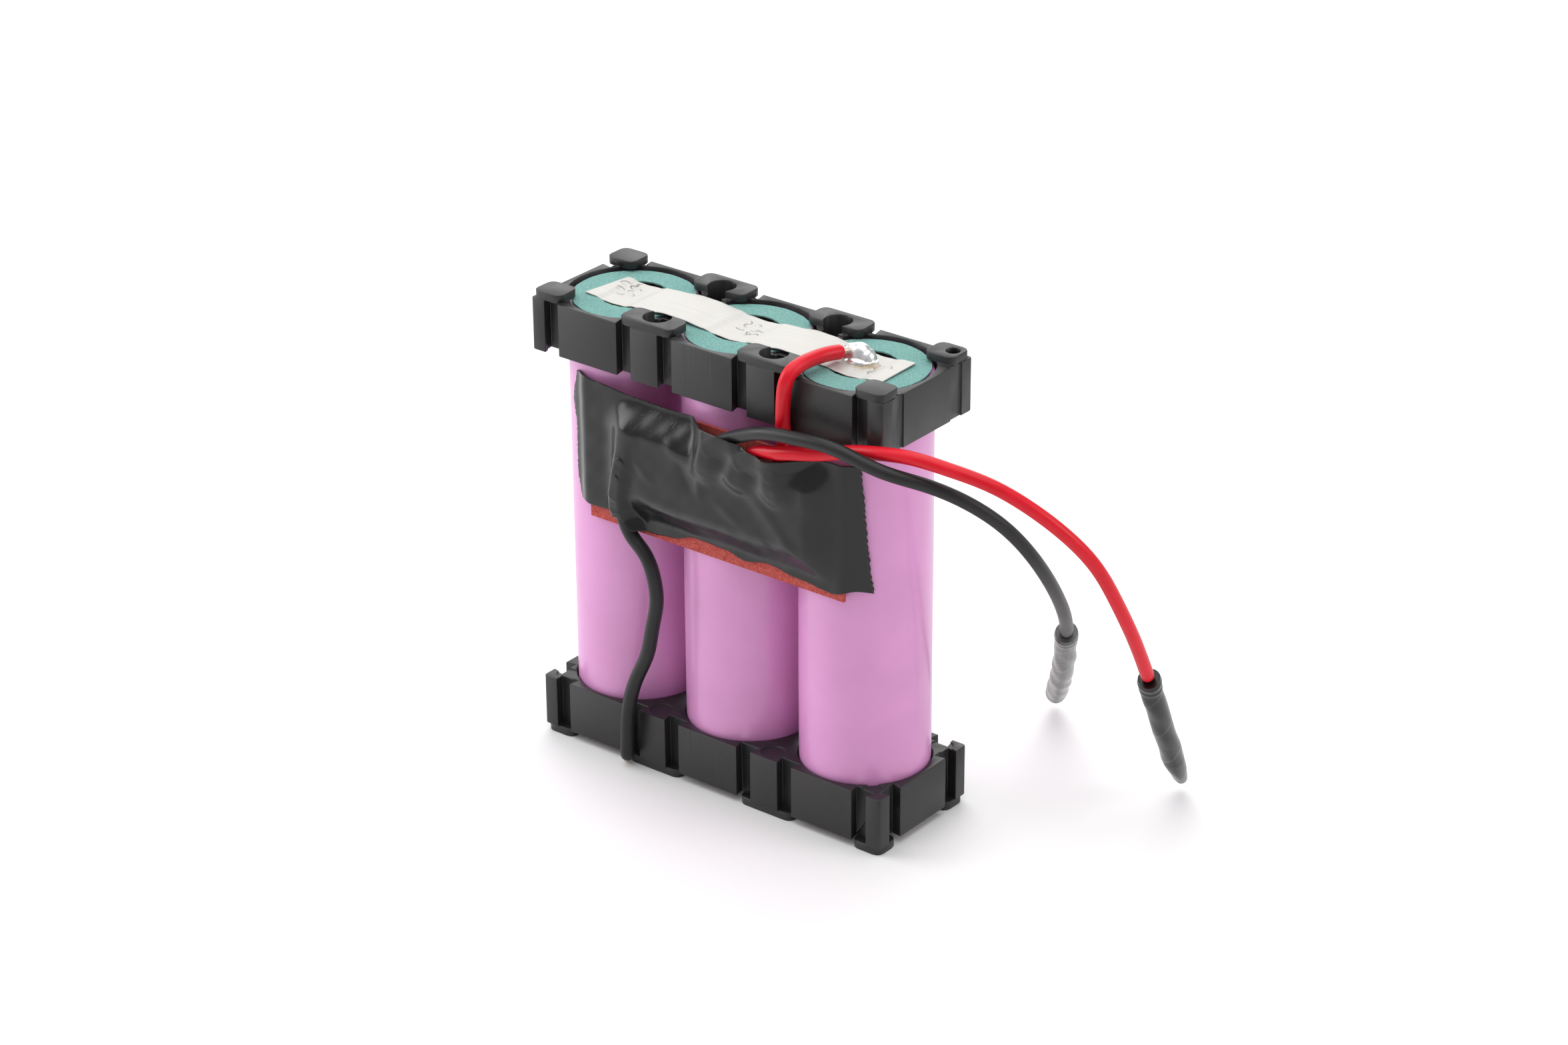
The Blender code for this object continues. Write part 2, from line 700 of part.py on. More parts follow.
def make_tape():
    """A patch of tape from the first cell's side, out over the board and back to the last cell's side.
    Each station gives the place of its middle in plan and the heights of its lower and upper edge, the
    heights counted from the backing board's lower edge."""
    tape = paint("black_tape", (0.03, 0.03, 0.03), 0.35)
    wrap = CELL_RADIUS + TAPE_CLEARANCE + TAPE_THICKNESS / 2
    flat = -TAPE_FRONT + TAPE_THICKNESS / 2
    left, right = BACKING_LEFT, BACKING_LEFT + BACKING_WIDTH

    def beside(cell_x, degrees, lift):
        angle = math.radians(degrees)
        reach = wrap + lift
        return cell_x + reach * math.sin(angle), -reach * math.cos(angle)

    first, last = cell_places()[0], cell_places()[-1]
    stations = [
        (*beside(first, -22.8, 0.0), 1.7, 20.9),
        (*beside(first, -13.5, 0.0), 1.6, 20.9),
        (left - 0.4 * MM, flat + 2.75 * MM, 1.6, 20.7),
        (left + 2.0 * MM, flat + 0.75 * MM, 1.5, 20.5),
        (left + 4.1 * MM, flat, 1.3, 20.1),
        (left + 8.6 * MM, flat, 1.2, 19.7),
        (left + 14.6 * MM, flat + 0.35 * MM, 1.2, 19.3),
        (left + 20.6 * MM, flat, 1.3, 18.9),
        (right - 18.0 * MM, flat, 1.4, 18.3),
        (right - 12.0 * MM, flat, 1.4, 18.1),
        (right - 7.5 * MM, flat, 1.3, 18.3),
        (right - 4.5 * MM, flat + 0.75 * MM, 1.2, 18.7),
        (right - 1.2 * MM, flat + 2.15 * MM, 1.1, 19.5),
        (right + 0.5 * MM, flat + 2.95 * MM, 1.1, 19.6),
        (*beside(last, 28.6, 0.54 * MM), 1.1, 19.5),
        (*beside(last, 42.7, 0.06 * MM), 1.1, 19.3),
    ]
    rows = 3
    bm = bmesh.new()
    grid = []
    for x, y, low, high in stations:
        heights = [BACKING_BOTTOM + (low + (high - low) * i / rows) * MM for i in range(rows + 1)]
        grid.append([bm.verts.new((x, y, height)) for height in heights])
    for here, after in zip(grid, grid[1:]):
        for i in range(rows):
            bm.faces.new((here[i], after[i], after[i + 1], here[i + 1]))
    mesh = bpy.data.meshes.new("tape_patch")
    bm.to_mesh(mesh)
    bm.free()
    piece = place("tape_patch", mesh, tape)
    wall = piece.modifiers.new("wall", "SOLIDIFY")
    wall.thickness = TAPE_THICKNESS
    wall.offset = 0.0


# Leads. Each route is a list of points in millimetres in the row's own frame.

LINK_POSITIVE = [
    (16.85, -1.2, 69.15),
    (16.5, -2.6, 69.35),
    (16.15, -4.3, 69.5),
    (15.95, -6.2, 69.6),
    (15.9, -8.1, 69.65),
    (15.85, -9.6, 69.5),
    (15.7, -10.85, 68.95),
    (15.5, -11.45, 67.8),
    (15.3, -11.55, 66.4),
    (15.05, -11.45, 64.2),
    (14.95, -11.35, 61.6),
    (14.9, -11.05, 59.2),
    (14.85, -11.1, 57.8),
    (14.7, -11.6, 56.2),
    (14.55, -12.05, 54.4),
    (14.5, -12.15, 52.4),
]
LINK_NEGATIVE = [
    (-12.0, -12.05, 46.2),
    (-14.2, -12.0, 44.2),
    (-15.3, -11.6, 41.6),
    (-14.3, -11.2, 39.2),
    (-12.4, -11.0, 37.2),
    (-10.1, -10.9, 34.9),
    (-8.5, -10.85, 31.5),
    (-8.1, -10.85, 27.8),
    (-8.9, -10.9, 23.6),
    (-9.9, -11.0, 19.1),
    (-11.6, -11.2, 15.2),
    (-12.9, -11.35, 11.2),
    (-13.5, -11.4, 7.2),
    (-13.6, -11.4, 4.4),
    (-13.7, -11.35, 2.6),
    (-13.9, -11.1, 1.5),
]
NEGATIVE_STRANDS = [
    (-14.6, -10.7, 0.62),
    (-15.4, -9.65, 0.55),
    (-15.7, -7.6, 0.55),
    (-15.7, -5.8, 0.6),
    (-15.4, -4.0, 0.8),
]
OUTPUT_POSITIVE = [
    (7.9, -12.1, 52.6),
    (9.3, -12.1, 55.3),
    (12.0, -12.7, 57.3),
    (14.8, -13.2, 58.1),
    (17.3, -13.1, 58.7),
    (21.7, -12.2, 59.5),
    (26.1, -11.6, 60.8),
    (30.6, -11.4, 61.8),
    (34.9, -10.7, 62.2),
    (40.7, -9.4, 61.6),
    (45.9, -7.4, 60.1),
    (50.4, -5.1, 57.4),
    (54.1, -2.4, 53.7),
    (57.0, 0.7, 48.8),
    (58.6, 3.9, 42.5),
    (59.2, 7.8, 35.2),
    (58.85, 11.8, 28.2),
]
POSITIVE_TIP = [
    (58.8, 12.1, 27.7),
    (57.6, 16.7, 20.3),
    (56.1, 21.7, 13.3),
    (54.2, 27.6, 5.6),
    (53.0, 31.0, 1.7),
]
OUTPUT_NEGATIVE = [
    (1.7, -12.15, 52.8),
    (3.9, -12.1, 55.8),
    (6.5, -12.3, 57.6),
    (9.5, -12.9, 59.1),
    (12.5, -13.5, 60.4),
    (15.2, -13.9, 61.2),
    (20.4, -14.15, 61.9),
    (25.0, -14.0, 62.0),
    (29.0, -13.75, 61.3),
    (32.7, -12.8, 60.2),
    (37.6, -10.1, 58.7),
    (41.8, -6.8, 56.2),
    (45.1, -3.0, 52.2),
    (47.0, 1.4, 46.4),
    (47.0, 7.1, 38.6),
    (45.1, 12.3, 31.7),
    (44.2, 13.8, 29.6),
]
NEGATIVE_TIP = [
    (43.9, 14.2, 29.1),
    (40.5, 19.1, 22.9),
    (37.1, 23.7, 17.5),
    (32.2, 30.2, 10.9),
    (24.7, 40.4, 1.8),
]


def make_leads():
    red = paint("red_insulation", (0.75, 0.02, 0.04), 0.4)
    black = paint("black_insulation", (0.03, 0.03, 0.03), 0.4)
    tape = paint("tip_tape", (0.02, 0.02, 0.02), 0.3)
    copper = paint("tinned_copper", (0.7, 0.55, 0.45), 0.35, 1.0)
    close, wide = 1.6 * MM, 5.0 * MM
    lead("link_lead_positive", smooth_route(LINK_POSITIVE, close), LINK_LEAD_DIAMETER, red)
    lead("link_lead_negative", smooth_route(LINK_NEGATIVE, 3.0 * MM), LINK_LEAD_DIAMETER, black)
    lead("link_strands_negative", smooth_route(NEGATIVE_STRANDS, close), STRAND_DIAMETER, copper)
    lead("output_lead_positive", smooth_route(OUTPUT_POSITIVE, wide), OUTPUT_LEAD_DIAMETER, red)
    lead("output_lead_negative", smooth_route(OUTPUT_NEGATIVE, wide), OUTPUT_LEAD_DIAMETER, black)
    lead("tip_wrap_positive", smooth_route(POSITIVE_TIP, wide), TIP_WRAP_DIAMETER, tape)
    lead("tip_wrap_negative", smooth_route(NEGATIVE_TIP, wide), TIP_WRAP_DIAMETER, tape)


clear_scene()
PACK = bpy.data.collections.new("battery_pack")
CUTTERS = bpy.data.collections.new("cutters")
for group in (PACK, CUTTERS):
    bpy.context.scene.collection.children.link(group)
ROW = bpy.data.objects.new("row_frame", None)
ROW.location = (0.0, ROW_Y, 0.0)
PACK.objects.link(ROW)

make_holders()
make_cells()
make_connections()
make_board()
make_tape()
make_leads()
bpy.context.view_layer.update()
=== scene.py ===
"""A battery pack of three cylindrical cells in two moulded holders, with its protection board taped to
the front. Sizes are in millimetres times MM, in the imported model's frame."""
import math
import bmesh
import bpy
import numpy as np
from mathutils import Matrix, Vector


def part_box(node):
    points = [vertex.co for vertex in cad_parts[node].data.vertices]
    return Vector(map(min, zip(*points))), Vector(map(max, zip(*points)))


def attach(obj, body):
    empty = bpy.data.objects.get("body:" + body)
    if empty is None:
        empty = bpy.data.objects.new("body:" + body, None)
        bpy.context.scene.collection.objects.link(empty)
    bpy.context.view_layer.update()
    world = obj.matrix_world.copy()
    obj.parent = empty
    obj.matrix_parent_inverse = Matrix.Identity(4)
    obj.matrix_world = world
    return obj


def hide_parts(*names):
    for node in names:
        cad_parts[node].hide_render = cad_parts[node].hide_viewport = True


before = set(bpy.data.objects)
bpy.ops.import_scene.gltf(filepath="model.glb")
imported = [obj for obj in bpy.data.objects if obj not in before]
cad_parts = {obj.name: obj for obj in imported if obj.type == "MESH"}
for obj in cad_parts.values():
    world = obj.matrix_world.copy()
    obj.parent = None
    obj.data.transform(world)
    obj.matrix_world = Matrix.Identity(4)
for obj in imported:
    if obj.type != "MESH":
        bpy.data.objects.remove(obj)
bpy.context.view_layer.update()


# Camera: a long lens that looks down on the pack's right front corner. Its place is counted from the
# middle plane of the row of cells, which is the lower holder's own middle.
MM = 0.001
holder_low, holder_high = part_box("holder_bottom")
ROW_Y = (holder_low.y + holder_high.y) / 2
CAMERA_PLACE = (318.12, -395.10, 283.44)
CAMERA_AZIMUTH, CAMERA_ELEVATION, CAMERA_ROLL = (math.radians(a) for a in (38.301, 25.785, 0.331))

back = Vector((
    math.sin(CAMERA_AZIMUTH) * math.cos(CAMERA_ELEVATION),
    -math.cos(CAMERA_AZIMUTH) * math.cos(CAMERA_ELEVATION),
    math.sin(CAMERA_ELEVATION),
))
right = Vector((0, 0, 1)).cross(back).normalized()
up = back.cross(right)
level = Matrix((right, up, back)).transposed().to_4x4()
camera = bpy.data.objects.new("camera", bpy.data.cameras.new("camera"))
bpy.context.scene.collection.objects.link(camera)
camera.data.lens = 92.92
camera.data.clip_start = 0.01
camera.matrix_world = (
    Matrix.Translation(Vector(CAMERA_PLACE) * MM + Vector((0, ROW_Y, 0)))
    @ level
    @ Matrix.Rotation(-CAMERA_ROLL, 4, "Z")
)
bpy.context.scene.camera = camera


# Output leads: fine stranded copper in soft insulation, red for plus and black for minus. They come out
# of the tape's upper edge and hang down behind the pack. Each bare end is wound with tape.
OUTPUT_LEAD_DIAMETER = 1.9 * MM
TIP_WRAP_DIAMETER = 3.1 * MM
OUTPUT_POSITIVE = [
    (7.9, -12.1, 52.6), (9.3, -12.1, 55.3), (12.0, -12.7, 57.3), (14.8, -13.2, 58.1),
    (17.3, -13.1, 58.7), (21.7, -12.2, 59.5), (26.1, -11.6, 60.8), (30.6, -11.4, 61.8),
    (34.9, -10.7, 62.2), (40.7, -9.4, 61.6), (45.9, -7.4, 60.1), (50.4, -5.1, 57.4),
    (54.1, -2.4, 53.7), (57.0, 0.7, 48.8), (58.6, 3.9, 42.5), (59.2, 7.8, 35.2),
    (58.85, 11.8, 28.2),
]
POSITIVE_TIP = [
    (58.8, 12.1, 27.7), (57.6, 16.7, 20.3), (56.1, 21.7, 13.3), (54.2, 27.6, 5.6), (53.0, 31.0, 1.7),
]
OUTPUT_NEGATIVE = [
    (1.7, -12.15, 52.8), (3.9, -12.1, 55.8), (6.5, -12.3, 57.6), (9.5, -12.9, 59.1),
    (12.5, -13.5, 60.4), (15.2, -13.9, 61.2), (20.4, -14.15, 61.9), (25.0, -14.0, 62.0),
    (29.0, -13.75, 61.3), (32.7, -12.8, 60.2), (37.6, -10.1, 58.7), (41.8, -6.8, 56.2),
    (45.1, -3.0, 52.2), (47.0, 1.4, 46.4), (47.0, 7.1, 38.6), (45.1, 12.3, 31.7),
    (44.2, 13.8, 29.6),
]
NEGATIVE_TIP = [
    (43.9, 14.2, 29.1), (40.5, 19.1, 22.9), (37.1, 23.7, 17.5), (32.2, 30.2, 10.9), (24.7, 40.4, 1.8),
]


def smooth_route(points, spacing):
    """Natural cubic curve through the points, read at even steps: between two knots each coordinate is
    a cubic, and its second derivative runs straight from knot to knot and is nought at both ends."""
    knots = np.array(points, float) * MM + np.array([0.0, ROW_Y, 0.0])
    gap = np.linalg.norm(np.diff(knots, axis=0), axis=1)
    run = np.concatenate([[0.0], np.cumsum(gap)])
    inner = np.arange(1, len(knots) - 1)
    system = np.eye(len(knots))
    system[inner, inner - 1] = gap[:-1]
    system[inner, inner] = 2 * (gap[:-1] + gap[1:])
    system[inner, inner + 1] = gap[1:]
    slopes = np.zeros_like(knots)
    slopes[1:-1] = 6 * np.diff(np.diff(knots, axis=0) / gap[:, None], axis=0)
    bend = np.linalg.solve(system, slopes)
    along = np.linspace(0.0, run[-1], round(run[-1] / spacing) + 1)
    i = np.clip(np.searchsorted(run, along, side="right") - 1, 0, len(gap) - 1)
    span = gap[i][:, None]
    before = (along - run[i])[:, None]
    after = span - before
    return (
        bend[i] * after**3 / (6 * span)
        + bend[i + 1] * before**3 / (6 * span)
        + (knots[i] / span - bend[i] * span / 6) * after
        + (knots[i + 1] / span - bend[i + 1] * span / 6) * before
    )


def carried_round(route, radius, around):
    """A ring carried along a route. A point is the route's point plus the radius times the cosine and
    the sine of its angle along two axes square to the route, the first of them in the route's plane."""
    tangent = np.gradient(route, axis=0)
    tangent /= np.linalg.norm(tangent, axis=1, keepdims=True)
    plane = np.linalg.svd(route - route.mean(axis=0))[2][2]
    first = np.cross(tangent, plane)
    first /= np.linalg.norm(first, axis=1, keepdims=True)
    second = np.cross(tangent, first)
    angle = np.linspace(0.0, 2 * math.pi, around, endpoint=False)[None, :, None]
    ring = np.cos(angle) * first[:, None] + np.sin(angle) * second[:, None]
    return route[:, None] + np.broadcast_to(radius, (len(route), around))[:, :, None] * ring


def run_along(route):
    """The distance from the route's start to each of its points."""
    steps = np.linalg.norm(np.diff(route, axis=0), axis=1)
    return np.concatenate([[0.0], np.cumsum(steps)])


def skin(name, grid, finish, closed_round=True, closed_along=False, capped=True, uv_scale=None):
    """A mesh over a grid of points, one row for each step along and one column for each step round. Its
    UV map holds the shares round and along, in millimetres if uv_scale gives the two sizes."""
    rows, columns = grid.shape[:2]
    across = np.arange(columns if closed_round else columns - 1)
    along = np.arange(rows if closed_along else rows - 1)
    j, i = np.meshgrid(across, along)
    j, i = j.ravel(), i.ravel()
    j_next, i_next = (j + 1) % columns, (i + 1) % rows
    quads = np.stack(
        [i * columns + j, i * columns + j_next, i_next * columns + j_next, i_next * columns + j], 1
    )
    faces = quads.tolist()
    if capped and closed_round and not closed_along:
        faces.append(list(range(columns))[::-1])
        faces.append([(rows - 1) * columns + k for k in range(columns)])
    mesh = bpy.data.meshes.new(name)
    mesh.from_pydata(grid.reshape(-1, 3).tolist(), [], faces)
    corners = np.stack([j, i, j + 1, i, j + 1, i + 1, j, i + 1], 1).reshape(-1, 2).astype(float)
    corners *= np.array(uv_scale or (1.0, 1.0)) / np.array([columns, rows])
    layer = mesh.uv_layers.new(name="lay")
    spread = np.zeros((len(mesh.loops), 2))
    spread[: len(corners)] = corners
    layer.data.foreach_set("uv", spread.ravel())
    mesh.shade_smooth()
    mesh.set_sharp_from_angle(angle=math.radians(50))
    piece = bpy.data.objects.new(name, mesh)
    bpy.context.scene.collection.objects.link(piece)
    mesh.materials.append(finish)
    return piece


def face_outwards(piece, merge=1e-7):
    """Merges doubled points and turns every face of a closed piece outwards."""
    bm = bmesh.new()
    bm.from_mesh(piece.data)
    bmesh.ops.remove_doubles(bm, verts=bm.verts, dist=merge)
    bmesh.ops.recalc_face_normals(bm, faces=bm.faces)
    bm.to_mesh(piece.data)
    bm.free()
    return piece


def node(tree, kind, inputs=None, **settings):
    """Adds a shader node. An input takes a value, or another node's output, which is linked to it."""
    made = tree.nodes.new("ShaderNode" + kind)
    for key, value in settings.items():
        setattr(made, key, value)
    for key, value in (inputs or {}).items():
        if isinstance(value, bpy.types.NodeSocket):
            tree.links.new(value, made.inputs[key])
        else:
            made.inputs[key].default_value = value
    return made


def stands_for(piece, node_name):
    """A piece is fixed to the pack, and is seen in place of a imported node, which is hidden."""
    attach(piece, "root")
    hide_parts(node_name)
    return piece


def worked(tree, operation, first, second=None):
    """The outcome of a sum on one or two values."""
    inputs = {0: first} if second is None else {0: first, 1: second}
    return node(tree, "Math", inputs, operation=operation).outputs[0]


def noise(tree, place, scale, detail, **more):
    """Noise at a place, in features per metre."""
    return node(tree, "TexNoise", {"Vector": place, "Scale": scale, "Detail": detail, **more}).outputs


def finish_of(name, **uniform):
    """A material with a Principled BSDF whose uniform values are set on its own sockets."""
    made = bpy.data.materials.new(name)
    made.use_nodes = True
    shader = made.node_tree.nodes["Principled BSDF"]
    for key, value in uniform.items():
        shader.inputs[key.replace("_", " ")].default_value = value
    return made, made.node_tree, shader


def mottle_group():
    """Unevenness that all the finishes share. Blotch is soft and wide, Grain is fine, Fleck is a mask of
    sparse specks, and each has its own scale in features per metre."""
    group = bpy.data.node_groups.new("mottle", "ShaderNodeTree")
    for label, scale in (("Blotch Scale", 150.0), ("Grain Scale", 6000.0), ("Fleck Scale", 700.0)):
        socket = group.interface.new_socket(name=label, in_out="INPUT", socket_type="NodeSocketFloat")
        socket.default_value = scale
    socket = group.interface.new_socket(name="Fleck Size", in_out="INPUT", socket_type="NodeSocketFloat")
    socket.default_value = 0.06
    for label in ("Blotch", "Grain", "Fleck"):
        group.interface.new_socket(name=label, in_out="OUTPUT", socket_type="NodeSocketFloat")
    asked = group.nodes.new("NodeGroupInput")
    given = group.nodes.new("NodeGroupOutput")
    place = node(group, "TexCoord").outputs["Object"]
    group.links.new(noise(group, place, asked.outputs[0], 4.0)[0], given.inputs["Blotch"])
    group.links.new(noise(group, place, asked.outputs[1], 3.0)[0], given.inputs["Grain"])
    flecks = node(group, "TexVoronoi", {"Vector": place, "Scale": asked.outputs[2]})
    chosen = worked(group, "GREATER_THAN", flecks.outputs["Color"], 0.93)
    near = worked(group, "LESS_THAN", flecks.outputs["Distance"], asked.outputs[3])
    fleck = worked(group, "MULTIPLY", chosen, near)
    group.links.new(fleck, given.inputs["Fleck"])
    return group


MOTTLE = mottle_group()


def mottle(tree, blotch=150.0, grain=6000.0, fleck=700.0, size=0.06):
    """The shared unevenness placed in a finish: blotch, grain and fleck, in that order."""
    made = node(tree, "Group")
    made.node_tree = MOTTLE
    for socket, value in zip(made.inputs, (blotch, grain, fleck, size)):
        socket.default_value = value
    return made.outputs


def mixed(tree, factor, low, high):
    """The colour between low and high at a factor."""
    made = node(tree, "Mix", data_type="RGBA")
    for index, value in ((0, factor), (6, low), (7, high)):
        if isinstance(value, bpy.types.NodeSocket):
            tree.links.new(value, made.inputs[index])
        else:
            made.inputs[index].default_value = value if index == 0 else (*value[:3], 1.0)
    return made.outputs[2]


def ranged(tree, value, low, high, start=0.3, end=0.7):
    """A value's span from start to end spread over low to high."""
    inputs = {"Value": value, "From Min": start, "From Max": end, "To Min": low, "To Max": high}
    return node(tree, "MapRange", inputs).outputs[0]


def mottled(tree, marks, low, high, fleck=None, fleck_share=0.5):
    """A colour that wanders between two with the blotches, and that of the flecks mixed in on top."""
    base = mixed(tree, ranged(tree, marks[0], 0.0, 1.0), low, high)
    if fleck is None:
        return base
    return mixed(tree, ranged(tree, marks[2], 0.0, fleck_share, 0.0, 1.0), base, fleck)


def coloured(tree, shader, base, rough=None):
    """Gives the shader its colour, and its roughness where that varies."""
    tree.links.new(base, shader.inputs["Base Color"])
    if rough is not None:
        tree.links.new(rough, shader.inputs["Roughness"])


def bumped(tree, shader, height, strength, distance, under=None):
    """Bends the shader's normal by a height, on top of another bump where one is given."""
    inputs = {"Height": height, "Strength": strength, "Distance": distance}
    if under is not None:
        inputs["Normal"] = under
    made = node(tree, "Bump", inputs)
    tree.links.new(made.outputs[0], shader.inputs["Normal"])
    return made.outputs[0]


def insulation(name, colour, dusty, roughness, painted_sheen=None):
    """Soft vinyl insulation: a smooth even colour, faint scuffs and a fine uneven skin. Where two lengths
    in millimetres from its start are given, it turns grey between them: a painted sheen where the lead
    catches the light."""
    made, tree, shader = finish_of(name, Specular_IOR_Level=0.3)
    marks = mottle(tree, 260.0, 2600.0, 900.0, 0.05)
    base = mottled(tree, marks, colour, dusty, (0.5, 0.5, 0.5), 0.35)
    if painted_sheen:
        # Painted sheen: a paler grey mixed in along part of the lead's length.
        lay = node(tree, "UVMap", uv_map="lay").outputs[0]
        along = node(tree, "SeparateXYZ", {0: lay}).outputs[1]
        base = mixed(tree, ranged(tree, along, 0.0, 1.0, *painted_sheen), base, (0.14, 0.137, 0.14))
    coloured(tree, shader, base, ranged(tree, marks[0], roughness - 0.05, roughness + 0.08))
    bumped(tree, shader, marks[1], 0.12, 0.05 * MM)
    return made


RED_INSULATION = insulation("red_insulation", (0.60, 0.002, 0.012), (0.67, 0.005, 0.02), 0.32)
BLACK_INSULATION = insulation("black_insulation", (0.012, 0.012, 0.013), (0.02, 0.02, 0.021), 0.38)
# The black output lead, with a painted sheen that greys it towards its tip.
SHEEN_PAINTED_INSULATION = insulation(
    "black_insulation_painted_sheen", (0.012, 0.012, 0.013), (0.02, 0.02, 0.021), 0.38, (58.0, 84.0)
)


def lead(name, route, diameter, finish, node_name):
    """A lead's insulation: a round skin whose edge is broken at both cut ends."""
    along = run_along(route)
    ease = np.clip(np.minimum(along, along[-1] - along) / (0.25 * MM), 0.0, 1.0)
    radius = (diameter / 2 * (0.9 + 0.1 * np.sqrt(ease)))[:, None]
    around = 28
    grid = carried_round(route, radius, around)
    piece = skin(name, grid, finish, uv_scale=(math.pi * diameter / MM, along[-1] / MM))
    return stands_for(piece, node_name)


def wound_tape(name, dark, pale, shine):
    """Wound vinyl tape: smooth and shiny, in soft blotches between a dark and a pale tone. On the minus
    lead the grey tones are a painted sheen.
    """
    made, tree, shader = finish_of(name, Specular_IOR_Level=shine)
    marks = mottle(tree, 300.0, 2500.0, 800.0, 0.05)
    base = mottled(tree, marks, (dark, dark, dark), (pale, pale, pale))
    coloured(tree, shader, base, ranged(tree, marks[0], 0.2, 0.3))
    bumped(tree, shader, marks[0], 0.2, 0.08 * MM)
    return made


WRAP_FINISHES = {
    "positive": wound_tape("wound_tape", 0.004, 0.007, 0.35),
    # The minus lead's wrap is painted grey: a painted sheen on black tape.
    "negative": wound_tape("wound_tape_painted_sheen", 0.05, 0.11, 0.55),
}


def tip_wrap(name, points, node_name, seed, ragged, finish, slimming):
    """Tape wound over a bare end. Its radius steps up at each turn of the winding, swells at the collar
    where the winding starts, and narrows past the conductor's end, where it is torn."""
    route = smooth_route(points, 0.18 * MM)
    along = run_along(route)[:, None]
    length = along[-1, 0]
    around = 44
    angle = np.linspace(0.0, 2 * math.pi, around, endpoint=False)[None, :]
    radius = TIP_WRAP_DIAMETER / 2 * np.ones_like(along * angle)
    turns = (along / (8.5 * MM) - angle / (2 * math.pi)) % 1.0
    radius += 0.05 * MM * (turns - 0.5)
    collar = np.exp(-((along - 0.8 * MM) / (0.55 * MM)) ** 2)
    second = np.exp(-((along - 2.0 * MM) / (0.4 * MM)) ** 2)
    radius += 0.16 * MM * collar + 0.1 * MM * second
    wave = np.random.default_rng(seed)
    for count in range(5):
        turn, pitch, lag = wave.integers(1, 4), wave.uniform(5.0, 14.0) * MM, wave.uniform(0, 6.28)
        radius += 0.03 * MM * np.sin(turn * angle + 2 * math.pi * along / pitch + lag)
    left = (length - along) / slimming
    slim = np.clip(left, 0.0, 1.0) ** 0.45
    radius *= 0.26 + 0.74 * slim
    grid = carried_round(route, radius, around)
    tangent = np.gradient(route, axis=0)
    tangent /= np.linalg.norm(tangent, axis=1, keepdims=True)
    torn = np.abs((angle * 11 / (2 * math.pi) + 0.3 * np.sin(3 * angle)) % 1.0 - 0.5)
    reach = ragged * torn * np.clip(1.0 - (length - along) / (1.6 * MM), 0.0, 1.0)
    grid += (reach - 0.5 * reach.max())[:, :, None] * tangent[:, None]
    piece = skin(name, grid, finish, uv_scale=(math.pi * TIP_WRAP_DIAMETER / MM, length / MM))
    return stands_for(piece, node_name)


for sign, points, tip, finish, seed, ragged, slimming in (
    ("positive", OUTPUT_POSITIVE, POSITIVE_TIP, RED_INSULATION, 3, 0.3 * MM, 9.0 * MM),
    ("negative", OUTPUT_NEGATIVE, NEGATIVE_TIP, SHEEN_PAINTED_INSULATION, 5, 1.6 * MM, 5.0 * MM),
):
    route = smooth_route(points, 0.5 * MM)
    slot = "red_insulation" if sign == "positive" else "black_insulation"
    cord = lead(f"lead_out_{sign}", route, OUTPUT_LEAD_DIAMETER, finish, f"output_lead_{sign}")
    wrap = tip_wrap(f"wrap_{sign}", tip, f"tip_wrap_{sign}", seed, ragged, WRAP_FINISHES[sign], slimming)


# Holders: one black moulding used at both ends of the cells. Each has a bore for every cell, dovetail
# grooves that take the next holder, and raised feet. The edges are softened as a mould leaves them.
PITCH = (holder_high.x - holder_low.x) / 3
EDGE_SOFTNESS = 0.13 * MM


def moulded_black():
    """Black moulding compound, satin with a fine grain, pale dust in places and faint mould lines."""
    made, tree, shader = finish_of("moulded_black", Specular_IOR_Level=0.5)
    marks = mottle(tree, 240.0, 5200.0, 480.0, 0.045)
    base = mottled(tree, marks, (0.011, 0.0105, 0.0115), (0.019, 0.018, 0.0195), (0.35, 0.34, 0.33), 0.6)
    coloured(tree, shader, base, ranged(tree, marks[0], 0.36, 0.5))
    place = node(tree, "SeparateXYZ", {0: node(tree, "TexCoord").outputs["Object"]}).outputs[0]
    heights = []
    for offset in (-1.7 * MM, 1.1 * MM, 3.0 * MM):
        turn = worked(tree, "PINGPONG", worked(tree, "ADD", place, offset + 10 * PITCH), PITCH)
        heights.append(ranged(tree, turn, 1.0, 0.0, 0.0, 0.09 * MM))
    lines = worked(tree, "ADD", worked(tree, "ADD", heights[0], heights[1]), heights[2])
    under = bumped(tree, shader, marks[1], 0.45, 0.03 * MM)
    bumped(tree, shader, lines, 0.5, 0.05 * MM, under)
    return made


MOULDED_BLACK = moulded_black()


def softened(name, node_name, finish, width):
    """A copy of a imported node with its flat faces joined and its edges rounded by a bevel."""
    bm = bmesh.new()
    bm.from_mesh(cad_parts[node_name].data)
    bmesh.ops.remove_doubles(bm, verts=bm.verts, dist=2e-6)
    bmesh.ops.dissolve_limit(
        bm, angle_limit=math.radians(0.8), use_dissolve_boundaries=False, verts=bm.verts, edges=bm.edges
    )
    mesh = bpy.data.meshes.new(name)
    bm.to_mesh(mesh)
    bm.free()
    mesh.materials.append(finish)
    mesh.shade_smooth()
    piece = bpy.data.objects.new(name, mesh)
    bpy.context.scene.collection.objects.link(piece)
    soft = piece.modifiers.new("soft_edges", "BEVEL")
    soft.width = width
    soft.segments = 2
    soft.limit_method = "ANGLE"
    soft.angle_limit = math.radians(40)
    soft.use_clamp_overlap = False
    soft.harden_normals = True
    return stands_for(piece, node_name)


for which in ("top", "bottom"):
    softened(f"moulding_{which}", f"holder_{which}", MOULDED_BLACK, EDGE_SOFTNESS)


